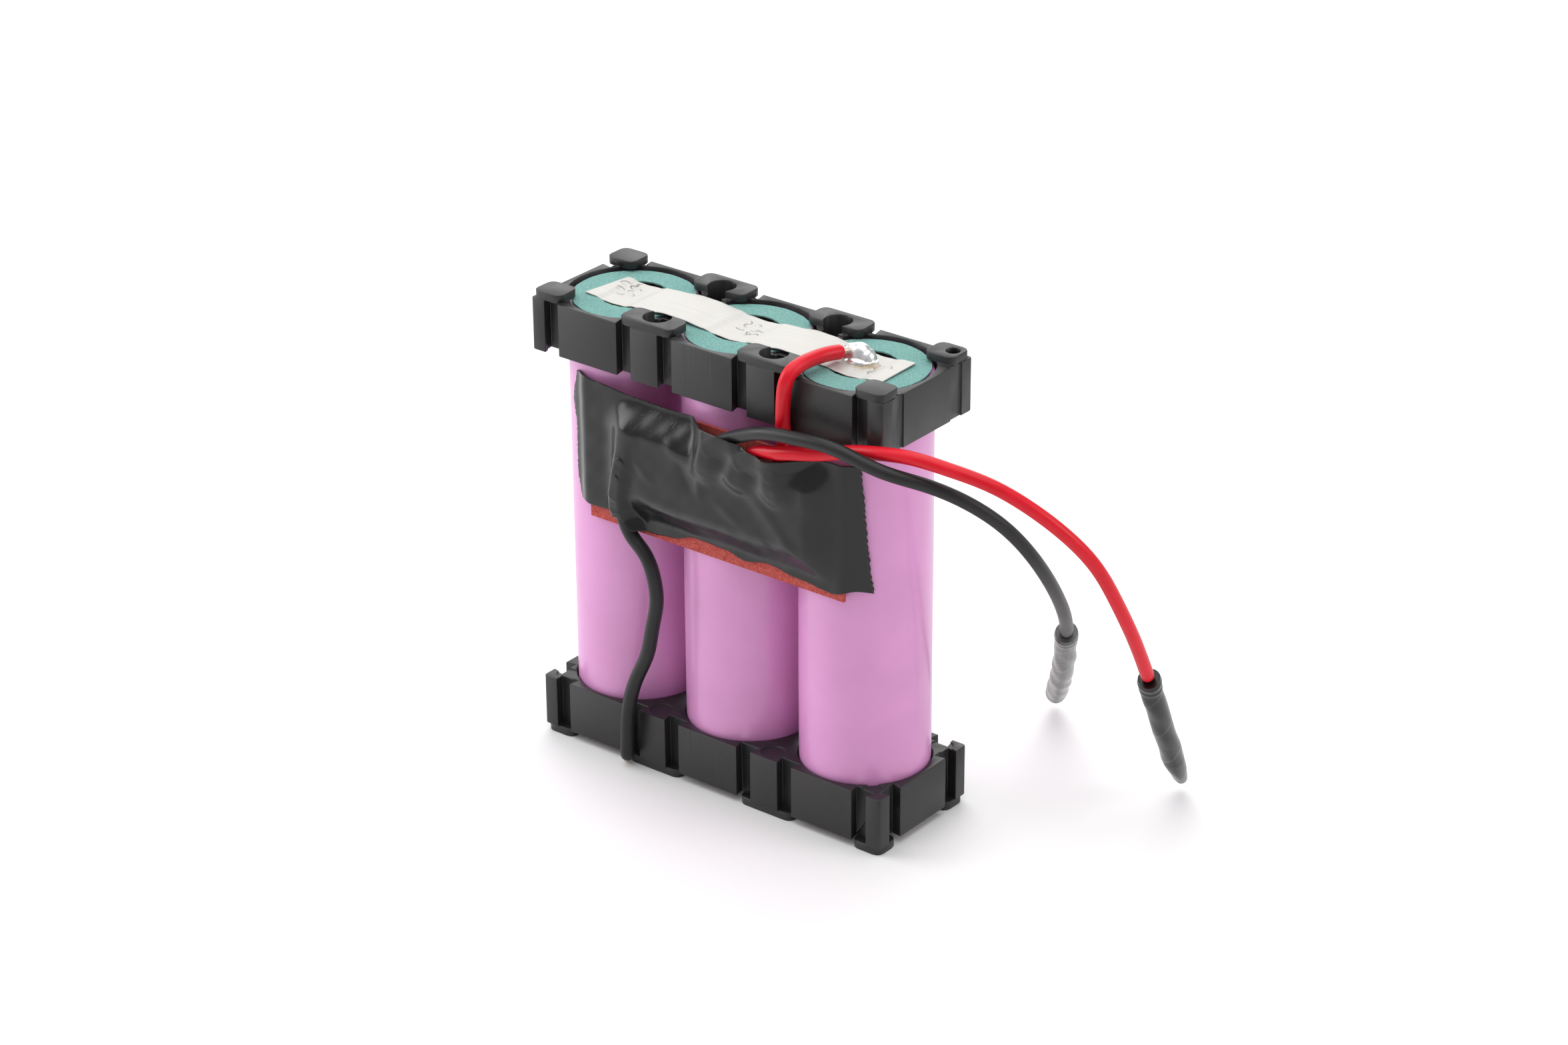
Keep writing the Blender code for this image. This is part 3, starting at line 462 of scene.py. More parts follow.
# Cells: a drawn steel can in a shrunk pink sleeve, closed by a crimped cap, with a ring of fibre paper
# over the crimp. They stand with their positive ends up.
CELL_CENTRES = [sum(corner.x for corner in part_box(f"cell_{number}_sleeve")) / 2 for number in (1, 2, 3)]
sleeve_low, sleeve_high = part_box("cell_2_sleeve")
CELL_RADIUS = (sleeve_high.x - sleeve_low.x) / 2
SLEEVE_WALL = 0.2 * MM
SLEEVE_LIP = 1.6 * MM
RIM_RISE = 0.44 * MM
RING_RADIUS, RING_HOLE = 8.72 * MM, 4.85 * MM


def shrunk_sleeve():
    """Shrunk vinyl: pink, glossy, with a faint haze, fine dark dust and long soft shrink marks."""
    made, tree, shader = finish_of("shrunk_sleeve", Specular_IOR_Level=0.5, Coat_Roughness=0.12)
    shader.inputs["Coat Weight"].default_value = 0.25
    marks = mottle(tree, 90.0, 2500.0, 420.0, 0.03)
    base = mottled(tree, marks, (0.63, 0.262, 0.53), (0.70, 0.30, 0.60), (0.2, 0.08, 0.16), 0.55)
    coloured(tree, shader, base, ranged(tree, marks[0], 0.3, 0.42))
    place = node(tree, "TexCoord").outputs["Object"]
    drawn = node(tree, "Mapping", {0: place})
    drawn.inputs["Scale"].default_value = (420.0, 420.0, 35.0)
    bumped(tree, shader, noise(tree, drawn.outputs[0], 1.0, 2.0)[0], 0.06, 0.25 * MM)
    return made


def turned(name, profile, x, finish, steps=144):
    """A closed outline of (radius, height) turned about a cell's axis."""
    outline = np.array(profile, float)
    angle = np.linspace(0.0, 2 * math.pi, steps, endpoint=False)
    grid = np.stack(
        [
            x + outline[:, :1] * np.cos(angle),
            ROW_Y + outline[:, :1] * np.sin(angle),
            np.broadcast_to(outline[:, 1:], (len(outline), steps)),
        ],
        axis=2,
    )
    return face_outwards(skin(name, grid, finish, closed_along=True))


def rounded(corners, radius, steps=4):
    """An outline whose corners are rounded: each corner becomes a quadratic curve between points at the
    given distance from it along its two sides."""
    corner = np.array(corners, float)
    before, after = np.roll(corner, 1, axis=0) - corner, np.roll(corner, -1, axis=0) - corner
    near = np.linalg.norm(before, axis=1, keepdims=True), np.linalg.norm(after, axis=1, keepdims=True)
    start = corner + before / near[0] * np.minimum(radius, near[0] * 0.45)
    end = corner + after / near[1] * np.minimum(radius, near[1] * 0.45)
    t = np.linspace(0.0, 1.0, steps)[None, :, None]
    curve = (1 - t) ** 2 * start[:, None] + 2 * t * (1 - t) * corner[:, None] + t**2 * end[:, None]
    return curve.reshape(-1, 2)


SHRUNK_SLEEVE = shrunk_sleeve()


def sleeve(number, x):
    """A thin tube folded in over both ends of its can. Its skin waves a little where it has shrunk on."""
    low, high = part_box(f"cell_{number}_sleeve")
    high.z += RIM_RISE
    inner = CELL_RADIUS - SLEEVE_WALL
    lip = CELL_RADIUS - SLEEVE_LIP
    side = np.linspace(high.z - 0.9 * MM, low.z + 0.9 * MM, 60)
    outer = [(lip, high.z), (CELL_RADIUS - 0.5 * MM, high.z), (CELL_RADIUS - 0.12 * MM, high.z - 0.2 * MM)]
    outer += [(CELL_RADIUS, z) for z in side]
    outer += [(CELL_RADIUS - 0.12 * MM, low.z + 0.2 * MM), (CELL_RADIUS - 0.5 * MM, low.z), (lip, low.z)]
    wall = [(lip, low.z + SLEEVE_WALL), (inner - 0.25 * MM, low.z + SLEEVE_WALL), (inner, low.z + 0.6 * MM)]
    wall += [(inner, high.z - 0.6 * MM), (inner - 0.25 * MM, high.z - SLEEVE_WALL)]
    wall += [(lip, high.z - SLEEVE_WALL)]
    piece = turned(f"sleeve_{number}", outer + wall, x, SHRUNK_SLEEVE)
    co = np.zeros(len(piece.data.vertices) * 3)
    piece.data.vertices.foreach_get("co", co)
    co = co.reshape(-1, 3)
    across = co[:, :2] - np.array([x, ROW_Y])
    radius = np.linalg.norm(across, axis=1)
    angle = np.arctan2(across[:, 1], across[:, 0])
    height = (co[:, 2] - low.z) / MM
    wave = 0.018 * np.sin(5 * angle + height / 5.0 + number) + 0.014 * np.sin(9 * angle - height / 7.0)
    wave -= 0.02
    shift = np.where(radius > CELL_RADIUS - 0.05 * MM, wave * MM, 0.0)
    co[:, :2] += across / np.maximum(radius, 1e-9)[:, None] * shift[:, None]
    piece.data.vertices.foreach_set("co", co.ravel())
    stands_for(piece, f"cell_{number}_sleeve")


def plated_steel():
    """Nickel plated steel, bright, with fine turning marks round the cell's end."""
    made, tree, shader = finish_of("plated_steel", Metallic=1.0)
    marks = mottle(tree, 500.0, 5000.0)
    base = mottled(tree, marks, (0.46, 0.45, 0.43), (0.62, 0.61, 0.59))
    coloured(tree, shader, base, ranged(tree, marks[0], 0.28, 0.45))
    bumped(tree, shader, marks[1], 0.15, 0.03 * MM)
    return made


PLATED_STEEL = plated_steel()


def cell_end(number, x):
    """The can and the cap, drawn finer than their solids: the can's crimp curls in over the seal, and
    the cap has a flat flange and a raised middle with soft corners."""
    low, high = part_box(f"cell_{number}_can")
    radius, wall = (high.x - low.x) / 2, 0.25 * MM
    rim, lip = high.z + RIM_RISE, (high.x - low.x) / 2 - 2.2 * MM
    bead = rim - 3.4 * MM
    outside = [(lip, rim), (radius, rim), (radius, bead + 0.7 * MM), (radius - 0.8 * MM, bead)]
    outside += [(radius, bead - 0.7 * MM), (radius, low.z + 0.35 * MM)]
    outside += [(radius - 1.7 * MM, low.z + 0.3 * MM), (radius - 2.0 * MM, low.z)]
    outside += [(0.2 * MM, low.z), (0.2 * MM, low.z + wall)]
    inside = [(radius - 2.1 * MM, low.z + wall), (radius - 1.9 * MM, low.z + 0.6 * MM)]
    inside += [(radius - wall, low.z + 0.7 * MM), (radius - wall, bead - 0.8 * MM)]
    inside += [(radius - 0.8 * MM - wall, bead), (radius - wall, bead + 0.8 * MM)]
    inside += [(radius - wall, rim - wall), (lip, rim - wall)]
    can = turned(f"can_{number}", rounded(outside + inside, 0.25 * MM), x, PLATED_STEEL)
    low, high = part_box(f"cell_{number}_cap")
    reach, top = (high.x - low.x) / 2, high.z
    flange = low.z + 0.35 * MM
    cap_outline = [(0.02 * MM, top), (3.8 * MM, top), (4.2 * MM, flange), (reach, flange)]
    cap_outline += [(reach, low.z), (3.8 * MM, low.z)]
    cap_outline += [(3.4 * MM, top - 0.35 * MM), (0.02 * MM, top - 0.35 * MM)]
    cap = turned(f"cap_{number}", rounded(cap_outline, 0.14 * MM), x, PLATED_STEEL)
    for piece, part in ((can, "can"), (cap, "cap")):
        stands_for(piece, f"cell_{number}_{part}")


def fibre_threads(tree, wander_scale, push, thread_scale):
    """Noise read at a place that another noise has pushed aside, which draws it out into threads."""
    place = node(tree, "TexCoord").outputs["Object"]
    wander = noise(tree, place, wander_scale, 2.0)["Color"]
    pushed = node(tree, "VectorMath", {0: wander, 1: (push, push, push)}, operation="MULTIPLY")
    bent = node(tree, "VectorMath", {0: place, 1: pushed.outputs[0]}, operation="ADD")
    return noise(tree, bent.outputs[0], thread_scale, 5.0, Roughness=0.65)[0]


def fibre_paper():
    """Fish paper: teal, matt, matted from long fibres that show as pale and dark threads."""
    made, tree, shader = finish_of("fibre_paper", Roughness=0.88, Specular_IOR_Level=0.3)
    threads = fibre_threads(tree, 1500.0, 0.0008, 4300.0)
    marks = mottle(tree, 350.0, 5200.0, 1300.0, 0.1)
    strand = ranged(tree, threads, 0.0, 1.0, 0.35, 0.68)
    base = mixed(tree, strand, (0.085, 0.245, 0.225), (0.25, 0.43, 0.40))
    base = mixed(tree, ranged(tree, marks[0], 0.0, 0.35), base, (0.16, 0.35, 0.32))
    base = mixed(tree, ranged(tree, marks[2], 0.0, 0.4, 0.0, 1.0), base, (0.45, 0.66, 0.58))
    coloured(tree, shader, base)
    bumped(tree, shader, threads, 0.5, 0.05 * MM)
    return made


FIBRE_PAPER = fibre_paper()


def fibre_ring(number, x, slip):
    """A punched ring of fibre paper. Its edges wander a little from true circles, and its hole sits off
    the cell's middle by the amount that the ring has slipped."""
    low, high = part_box(f"cell_{number}_top_ring")
    steps = 220
    angle = np.linspace(0.0, 2 * math.pi, steps, endpoint=False)
    rough = 0.03 * np.sin(7 * angle + number) + 0.015 * np.sin(17 * angle) + 0.01 * np.sin(31 * angle + 2)
    top = high.z + RIM_RISE + 0.2 * MM
    bottom = top - (high.z - low.z)
    outer = RING_RADIUS + rough * MM
    inner = RING_HOLE + (0.05 * np.sin(5 * angle) + 0.03 * np.sin(23 * angle)) * MM
    circle = np.stack([np.cos(angle), np.sin(angle)], axis=1)
    middle = np.array([x, ROW_Y])
    hole = middle + np.array(slip) * MM
    lift = 0.05 * MM * np.sin(2 * angle + number)
    rings = []
    for edge, centre, z in (
        (outer, middle, top), (outer, middle, bottom), (inner, hole, bottom), (inner, hole, top)
    ):
        flat = centre + circle * edge[:, None]
        rings.append(np.column_stack([flat, z + lift]))
    piece = face_outwards(skin(f"fibre_ring_{number}", np.array(rings), FIBRE_PAPER, closed_along=True))
    stands_for(piece, f"cell_{number}_top_ring")


for number, x in enumerate(CELL_CENTRES, start=1):
    sleeve(number, x)
    cell_end(number, x)
    fibre_ring(number, x, ((0.0, 0.1), (-0.3, 0.05), (-0.35, 0.0))[number - 1])


# Inside each cell: the wound electrodes, the films above and below them, the seal, the vent disc and
# the tab. They keep their solids and get their own finishes.
def inner_finish(name, dark, light, roughness, metallic=0.0, rings=False):
    """A plain mottled finish. A wound piece shows its turns as fine rings about the cell's axis."""
    made, tree, shader = finish_of(name, Metallic=metallic, Roughness=roughness)
    marks = mottle(tree, 400.0, 4000.0)
    pattern = marks[0]
    if rings:
        place = node(tree, "TexCoord").outputs["Object"]
        spread = node(tree, "TexWave", {"Vector": place, "Scale": 900.0}, wave_type="RINGS")
        spread.rings_direction = "Z"
        pattern = spread.outputs["Fac"]
    base = mixed(tree, ranged(tree, pattern, 0.0, 1.0), dark, light)
    coloured(tree, shader, base)
    bumped(tree, shader, marks[1], 0.2, 0.03 * MM)
    return made


def refinish(finish, *node_names):
    """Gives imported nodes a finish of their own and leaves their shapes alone."""
    for node_name in node_names:
        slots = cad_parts[node_name].data.materials
        slots.clear()
        slots.append(finish)


WOUND_FOIL = inner_finish("wound_foil", (0.02, 0.02, 0.022), (0.10, 0.09, 0.085), 0.6, rings=True)
CLEAR_FILM = inner_finish("clear_film", (0.6, 0.6, 0.55), (0.72, 0.72, 0.66), 0.5)
SEAL_PLASTIC = inner_finish("seal_plastic", (0.5, 0.5, 0.5), (0.62, 0.62, 0.62), 0.45)
MILL_ALUMINIUM = inner_finish("mill_aluminium", (0.6, 0.6, 0.61), (0.76, 0.76, 0.78), 0.35, metallic=1.0)
for number in (1, 2, 3):
    refinish(WOUND_FOIL, f"cell_{number}_jelly_roll")
    refinish(CLEAR_FILM, f"cell_{number}_lower_insulator", f"cell_{number}_upper_insulator")
    refinish(SEAL_PLASTIC, f"cell_{number}_gasket")
    refinish(MILL_ALUMINIUM, f"cell_{number}_vent_disc", f"cell_{number}_positive_tab")


# Nickel strips: plain strip laid over all three cell ends and spot welded to each. It steps out over
# the web between two bores, and its ends are snipped by hand.
top_low, top_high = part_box("nickel_strip_top")
bottom_low, bottom_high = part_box("nickel_strip_bottom")
STRIP_THICKNESS = 0.15 * MM
STRIP_HALF = 4.0
TOP_WELDS = [
    (-23.3, 1.9, 0.55), (-22.5, 2.7, 0.5), (-21.6, 2.2, 0.6), (-21.5, 3.0, 0.45), (-23.0, 0.2, 0.5),
    (-22.2, -0.6, 0.45), (-21.2, 0.6, 0.4), (-20.6, -0.3, 0.4), (-20.9, 1.5, 0.45),
    (-1.6, 1.9, 0.5), (-0.7, 1.0, 0.45), (0.2, 1.9, 0.4), (-1.1, -0.1, 0.5), (1.0, 0.3, 0.4),
    (1.3, -0.8, 0.55), (2.0, -0.2, 0.5), (2.1, -1.4, 0.5), (0.6, -1.2, 0.45),
    (20.9, -0.3, 0.5), (21.8, -1.1, 0.5), (22.4, -0.2, 0.45), (21.3, 0.8, 0.4), (22.6, -1.9, 0.45),
    (23.4, 0.6, 0.4),
]
BOTTOM_WELDS = [
    (centre + dx, dy, 0.5)
    for centre in (-20.25, 0.0, 20.25)
    for dx, dy in (
        (-2.2, 1.4), (-0.9, 1.6), (1.1, 1.3), (2.3, 1.5), (-2.0, -1.3), (-0.7, -1.5), (1.0, -1.4)
    )
]


def nickel():
    """Pale nickel: a soft metallic sheen, rolling streaks along the strip, dull grey in the welds."""
    made, tree, shader = finish_of("nickel", Metallic=0.45)
    place = node(tree, "TexCoord").outputs["Object"]
    drawn = node(tree, "Mapping", {0: place})
    drawn.inputs["Scale"].default_value = (60.0, 2200.0, 60.0)
    streaks = noise(tree, drawn.outputs[0], 1.0, 3.0)[0]
    marks = mottle(tree, 260.0, 4000.0, 900.0, 0.08)
    base = mixed(tree, ranged(tree, streaks, 0.0, 1.0), (0.50, 0.486, 0.46), (0.56, 0.547, 0.522))
    base = mixed(tree, ranged(tree, marks[2], 0.0, 0.5, 0.0, 1.0), base, (0.3, 0.28, 0.25))
    weld = node(tree, "Attribute", attribute_name="weld").outputs["Fac"]
    base = mixed(tree, ranged(tree, weld, 0.0, 1.0, 0.5, 1.0), base, (0.13, 0.125, 0.12))
    flux = node(tree, "Attribute", attribute_name="flux").outputs["Fac"]
    base = mixed(tree, ranged(tree, flux, 0.0, 0.75, 0.0, 1.0), base, (0.33, 0.22, 0.07))
    coloured(tree, shader, base, ranged(tree, streaks, 0.45, 0.58))
    bumped(tree, shader, streaks, 0.08, 0.03 * MM)
    return made


NICKEL = nickel()


def smooth_heights(knots, x):
    """Heights along x that ease from knot to knot: the share of each span is 3t squared less 2t cubed."""
    places, heights = np.array(knots, float).T
    i = np.clip(np.searchsorted(places, x) - 1, 0, len(places) - 2)
    t = np.clip((x - places[i]) / (places[i + 1] - places[i]), 0.0, 1.0)
    return heights[i] + (heights[i + 1] - heights[i]) * (3 * t**2 - 2 * t**3)


def strip(name, node_name, knots, welds, outward, skew, flux_at=None):
    """A strip as a sheet over (x, y). Its height follows the knots, dips in a small crater with a raised
    rim at each weld, and waves slightly; its ends slant by skew. It is then given its thickness."""
    rows, columns = 64, 430
    across = np.linspace(-STRIP_HALF, STRIP_HALF, rows)[:, None]
    share = np.linspace(0.0, 1.0, columns)[None, :]
    left = -25.1 + skew * across
    x = left + (25.55 - 0.02 * across - left) * share
    y = across + 0.03 * np.sin(x / 4.0)
    height = smooth_heights(knots, x) + 0.012 * np.sin(x * 1.3 + across * 0.6)
    weld = np.zeros_like(height)
    for weld_x, weld_y, size in welds:
        distance = np.hypot((x - weld_x) / 1.25, y - weld_y) / size
        pit = np.exp(-(distance**2) * 2.2)
        rim = np.exp(-(((distance - 1.15) / 0.32) ** 2))
        turn = np.arctan2(y - weld_y, x - weld_x)
        height += 0.05 * rim * (1 + 0.5 * np.sin(2 * turn + weld_x)) - 0.07 * pit
        crescent = rim * np.clip(0.45 + 0.9 * np.sin(turn + 3 * weld_x), 0.0, 1.0)
        weld = np.maximum(weld, crescent)
    z = np.where(outward > 0, height, -height)
    grid = np.stack([x * MM, ROW_Y + y * MM, z * MM], axis=2)
    piece = skin(name, grid, NICKEL, closed_round=False, capped=False)
    for label, values in (("weld", weld), ("flux", np.zeros_like(weld))):
        if label == "flux" and flux_at:
            spread = np.hypot((x - flux_at[0]) / 2.6, (y - flux_at[1]) / 1.5)
            values = np.clip(1.35 - spread + 0.25 * np.sin(5 * x) * np.sin(4 * y), 0.0, 1.0)
        layer = piece.data.attributes.new(label, "FLOAT", "POINT")
        layer.data.foreach_set("value", values.ravel().astype(np.float32))
    wall = piece.modifiers.new("wall", "SOLIDIFY")
    wall.thickness = STRIP_THICKNESS
    wall.offset = 1.0 if outward < 0 else -1.0
    return stands_for(piece, node_name)


TOP_KNOTS = [
    (-25.6, 68.02), (-23.9, 67.95), (-22.5, 67.6), (-20.9, 67.52), (-18.8, 67.62), (-17.2, 67.98),
    (-14.5, 68.12), (-11.4, 68.42), (-8.7, 68.38), (-4.6, 68.02), (-2.8, 67.68), (0.0, 67.52),
    (2.0, 67.64), (3.7, 67.98), (6.0, 68.1), (8.9, 68.4), (11.6, 68.34), (14.6, 68.02), (16.4, 67.95),
    (18.2, 67.66), (20.0, 67.54), (21.9, 67.64), (23.7, 67.96), (25.7, 68.04),
]
strip("strip_top", "nickel_strip_top", TOP_KNOTS, TOP_WELDS, 1, 0.14, flux_at=(19.6, 0.1))
base_flat, base_web = -bottom_high.z / MM + 0.15, -bottom_low.z / MM
BOTTOM_KNOTS = [(-25.3, base_flat + 0.1), (-14.3, base_flat), (-12.0, base_web), (-8.3, base_web)]
BOTTOM_KNOTS += [(-6.0, base_flat), (6.0, base_flat), (8.3, base_web), (12.0, base_web)]
BOTTOM_KNOTS += [(14.3, base_flat), (25.7, base_flat + 0.1)]
strip("strip_bottom", "nickel_strip_bottom", BOTTOM_KNOTS, BOTTOM_WELDS, -1, 0.05)


# Solder: a bright dome on the top strip where the red link lead ends, with amber flux round its foot,
# and a flatter one on the base strip for the black link lead.
def bright_solder():
    """Solder: bright and smooth, a little dulled where it cooled slowly."""
    made, tree, shader = finish_of("bright_solder", Metallic=1.0)
    marks = mottle(tree, 700.0, 5000.0)
    base = mottled(tree, marks, (0.72, 0.73, 0.75), (0.88, 0.89, 0.91))
    coloured(tree, shader, base, ranged(tree, marks[0], 0.24, 0.34))
    bumped(tree, shader, marks[0], 0.06, 0.1 * MM)
    return made


BRIGHT_SOLDER = bright_solder()


def solder_dome(name, node_name, centre, half, base, rise, lobes, outward, skirt):
    """A blob as heights over a disc: a few round lobes, each the square root of one less the square of
    its distance, are blended by adding their cubes, and end in a thin skirt that has wetted the strip."""
    radius = np.linspace(1.0, 0.0, 60)[:, None]
    angle = np.linspace(0.0, 2 * math.pi, 120, endpoint=False)[None, :]
    wavy = 0.5 * np.sin(3 * angle + 0.7) + 0.3 * np.sin(5 * angle) + 0.2 * np.sin(8 * angle)
    edge = 1.0 + skirt * wavy
    u, v = radius * edge * np.cos(angle), radius * edge * np.sin(angle)
    cubes = (0.13 * (1 - radius**4)) ** 3
    for lobe_u, lobe_v, lobe_ru, lobe_rv, lobe_h in lobes:
        distance = ((u - lobe_u) / lobe_ru) ** 2 + ((v - lobe_v) / lobe_rv) ** 2
        cubes = cubes + (lobe_h * np.sqrt(np.clip(1 - distance, 0.0, 1.0))) ** 3
    height = np.cbrt(cubes)
    foot = np.where(radius > 0.995, -0.3, height * rise)
    grid = np.stack(
        [
            (centre[0] + u * half[0]) * MM,
            ROW_Y + (centre[1] + v * half[1]) * MM,
            (base + outward * foot) * MM,
        ],
        axis=2,
    )
    under = grid[:1].copy()
    under[:, :, :2] = under[:, :, :2].mean(axis=1, keepdims=True)
    blob = skin(name, np.concatenate([under, grid]), BRIGHT_SOLDER, capped=False)
    piece = face_outwards(blob, merge=1e-6)
    stands_for(piece, node_name)


# Each lobe is (across, along, half width, half length, height) as shares of the blob's own size.
TOP_LOBES = [
    (-0.12, 0.05, 0.72, 0.8, 1.0), (0.32, 0.12, 0.6, 0.72, 0.86), (-0.45, -0.35, 0.42, 0.5, 0.7),
    (0.1, -0.55, 0.6, 0.4, 0.22),
]
solder_dome("solder_top", "solder_positive", (17.95, 1.2), (2.85, 2.1), 67.8, 1.95, TOP_LOBES, 1, 0.08)
BASE_LOBES = [(0.0, 0.0, 0.85, 0.85, 1.0), (0.35, 0.2, 0.5, 0.5, 0.8)]
blob_low, blob_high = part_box("solder_negative")
solder_dome(
    "solder_bottom", "solder_negative",
    ((blob_low.x + blob_high.x) / 2 / MM, ((blob_low.y + blob_high.y) / 2 - ROW_Y) / MM),
    ((blob_high.x - blob_low.x) / 2 / MM, (blob_high.y - blob_low.y) / 2 / MM),
    blob_high.z / MM, (blob_high.z - blob_low.z) / MM, BASE_LOBES, -1, 0.12,
)


# Link leads: the red one joins the top strip to the board, the black one joins the board to the base
# strip. They carry the pack's current, so they are a little thicker than the output leads.
LINK_LEAD_DIAMETER = 2.05 * MM
LINK_POSITIVE = [
    (16.85, -1.2, 69.15), (16.5, -2.6, 69.35), (16.15, -4.3, 69.5), (15.95, -6.2, 69.6),
    (15.9, -8.1, 69.65), (15.85, -9.6, 69.5), (15.7, -10.85, 68.95), (15.5, -11.45, 67.8),
    (15.3, -11.55, 66.4), (15.05, -11.45, 64.2), (14.95, -11.35, 61.6), (14.9, -11.05, 59.2),
    (14.85, -11.1, 57.8), (14.7, -11.6, 56.2), (14.55, -12.05, 54.4), (14.5, -12.15, 52.4),
]
LINK_NEGATIVE = [
    (-12.4, -12.05, 46.4), (-13.5, -12.0, 43.8), (-13.8, -11.6, 41.5), (-13.3, -11.2, 39.2),
    (-12.4, -11.0, 37.2), (-10.1, -10.9, 34.9), (-8.5, -10.85, 31.5), (-8.1, -10.85, 27.8),
    (-8.9, -10.9, 23.6), (-9.9, -11.0, 19.1), (-11.6, -11.2, 15.2), (-12.9, -11.35, 11.2),
    (-13.5, -11.4, 7.2), (-13.6, -11.4, 4.4), (-13.7, -11.35, 2.6), (-13.9, -11.1, 1.5),
]
NEGATIVE_STRANDS = [
    (-14.1, -10.8, 1.0), (-14.6, -10.6, 0.75), (-15.4, -9.65, 0.6), (-15.7, -7.6, 0.58),
    (-15.7, -5.8, 0.62), (-15.6, -4.0, 0.8), (-15.8, -2.8, 1.1),
]
POSITIVE_STRANDS = [(16.7, -1.9, 69.2), (16.95, -0.7, 69.1), (17.2, 0.4, 69.0), (17.5, 1.5, 68.9)]

for sign, points, finish, slot in (
    ("positive", LINK_POSITIVE, RED_INSULATION, "red_insulation"),
    ("negative", LINK_NEGATIVE, BLACK_INSULATION, "black_insulation"),
):
    route = smooth_route(points, 0.35 * MM)
    lead(f"lead_link_{sign}", route, LINK_LEAD_DIAMETER, finish, f"link_lead_{sign}")


def tinned_strands():
    """Copper strands with a thin coat of tin that lets some copper through."""
    made, tree, shader = finish_of("tinned_strands", Metallic=1.0)
    marks = mottle(tree, 900.0, 6000.0)
    base = mottled(tree, marks, (0.55, 0.42, 0.34), (0.74, 0.70, 0.66))
    coloured(tree, shader, base, ranged(tree, marks[0], 0.25, 0.4))
    return made


TINNED_STRANDS = tinned_strands()


def strands(name, points, diameter, node_name=None):
    """Twisted strands: seven lobes round the bundle, which turn once in three millimetres."""
    route = smooth_route(points, 0.12 * MM)
    along = run_along(route)[:, None]
    angle = np.linspace(0.0, 2 * math.pi, 56, endpoint=False)[None, :]
    lobes = np.abs(np.cos(3.5 * (angle - 2 * math.pi * along / (3.0 * MM))))
    piece = skin(name, carried_round(route, diameter / 2 * (0.8 + 0.2 * lobes), 56), TINNED_STRANDS)
    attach(piece, "root")
    if node_name:
        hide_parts(node_name)


strands("strands_negative", NEGATIVE_STRANDS, 0.95 * MM, "link_strands_negative")
strands("strands_positive", POSITIVE_STRANDS, 1.0 * MM)


# Backing board: a piece of red vulcanised fibre cut by hand. It keeps the protection board off the
# cells, and its edges show past the tape.
def vulcanised_fibre():
    """Red fibre: matt, with a fleece of paler and darker threads, and pale specks here and there."""
    made, tree, shader = finish_of("vulcanised_fibre", Roughness=0.85, Specular_IOR_Level=0.3)
    threads = fibre_threads(tree, 700.0, 0.002, 2400.0)
    strand = ranged(tree, threads, 0.0, 1.0, 0.35, 0.7)
    base = mixed(tree, strand, (0.34, 0.04, 0.035), (0.56, 0.12, 0.095))
    marks = mottle(tree, 500.0, 5000.0, 1500.0, 0.1)
    base = mixed(tree, ranged(tree, marks[2], 0.0, 0.5, 0.0, 1.0), base, (0.8, 0.4, 0.3))
    coloured(tree, shader, base)
    bumped(tree, shader, threads, 0.5, 0.05 * MM)
    return made


refinish(vulcanised_fibre(), "backing_board")


# Protection board: a green laminate with its switching transistors, protection chip, small parts and
# solder joints. The tape covers it, so it keeps its solids.
DARK_CHIPS = ["mosfet_1", "mosfet_2", "protection_chip", "resistor_1", "resistor_2"]
BOARD_JOINTS = [f"board_joint_{which}" for which in ("cell_minus", "out_minus", "out_plus", "cell_plus")]
refinish(inner_finish("green_laminate", (0.012, 0.10, 0.035), (0.02, 0.15, 0.055), 0.35), "circuit_board")
refinish(inner_finish("chip_moulding", (0.012, 0.012, 0.013), (0.025, 0.025, 0.026), 0.5), *DARK_CHIPS)
refinish(inner_finish("chip_ceramic", (0.34, 0.24, 0.15), (0.46, 0.35, 0.24), 0.45), "capacitor")
refinish(BRIGHT_SOLDER, *BOARD_JOINTS)


# Tape over the board: a strip of black vinyl tape cut with a toothed edge at both ends. It is drawn
# tight over the board and the leads, sticks to the backing round them, and wrinkles in between.
backing_low, backing_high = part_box("backing_board")
TAPE_BASE = (backing_low.y - ROW_Y) / MM - 0.16
TAPE_THICKNESS = 0.18 * MM
TAPE_LENGTH, TOOTH_FADE = 50.0, 0.8
BOARD_RISE, SWELL_RISE, FOLD_SHARE = 2.3, 3.0, 0.6
TOP_EDGE = [
    (-25.0, 58.1), (-22.3, 58.7), (-18.4, 58.4), (-12.4, 57.9), (-7.6, 57.75), (-4.0, 57.8), (0.0, 57.9),
    (3.0, 58.0), (5.6, 58.2), (8.0, 58.0), (11.5, 57.4), (14.3, 57.1), (17.5, 57.2), (22.3, 57.6),
    (24.5, 57.5), (27.0, 56.6),
]
BOTTOM_EDGE = [
    (-25.0, 38.8), (-21.8, 39.4), (-20.2, 39.2), (-17.0, 39.4), (-15.0, 40.0), (-13.2, 40.1), (-11.2, 38.2),
    (-9.0, 38.0), (-5.7, 38.4), (-1.2, 39.6), (4.2, 39.4), (7.2, 38.7), (11.4, 39.5), (16.7, 38.8),
    (22.3, 38.3), (25.0, 38.9), (27.5, 38.3),
]
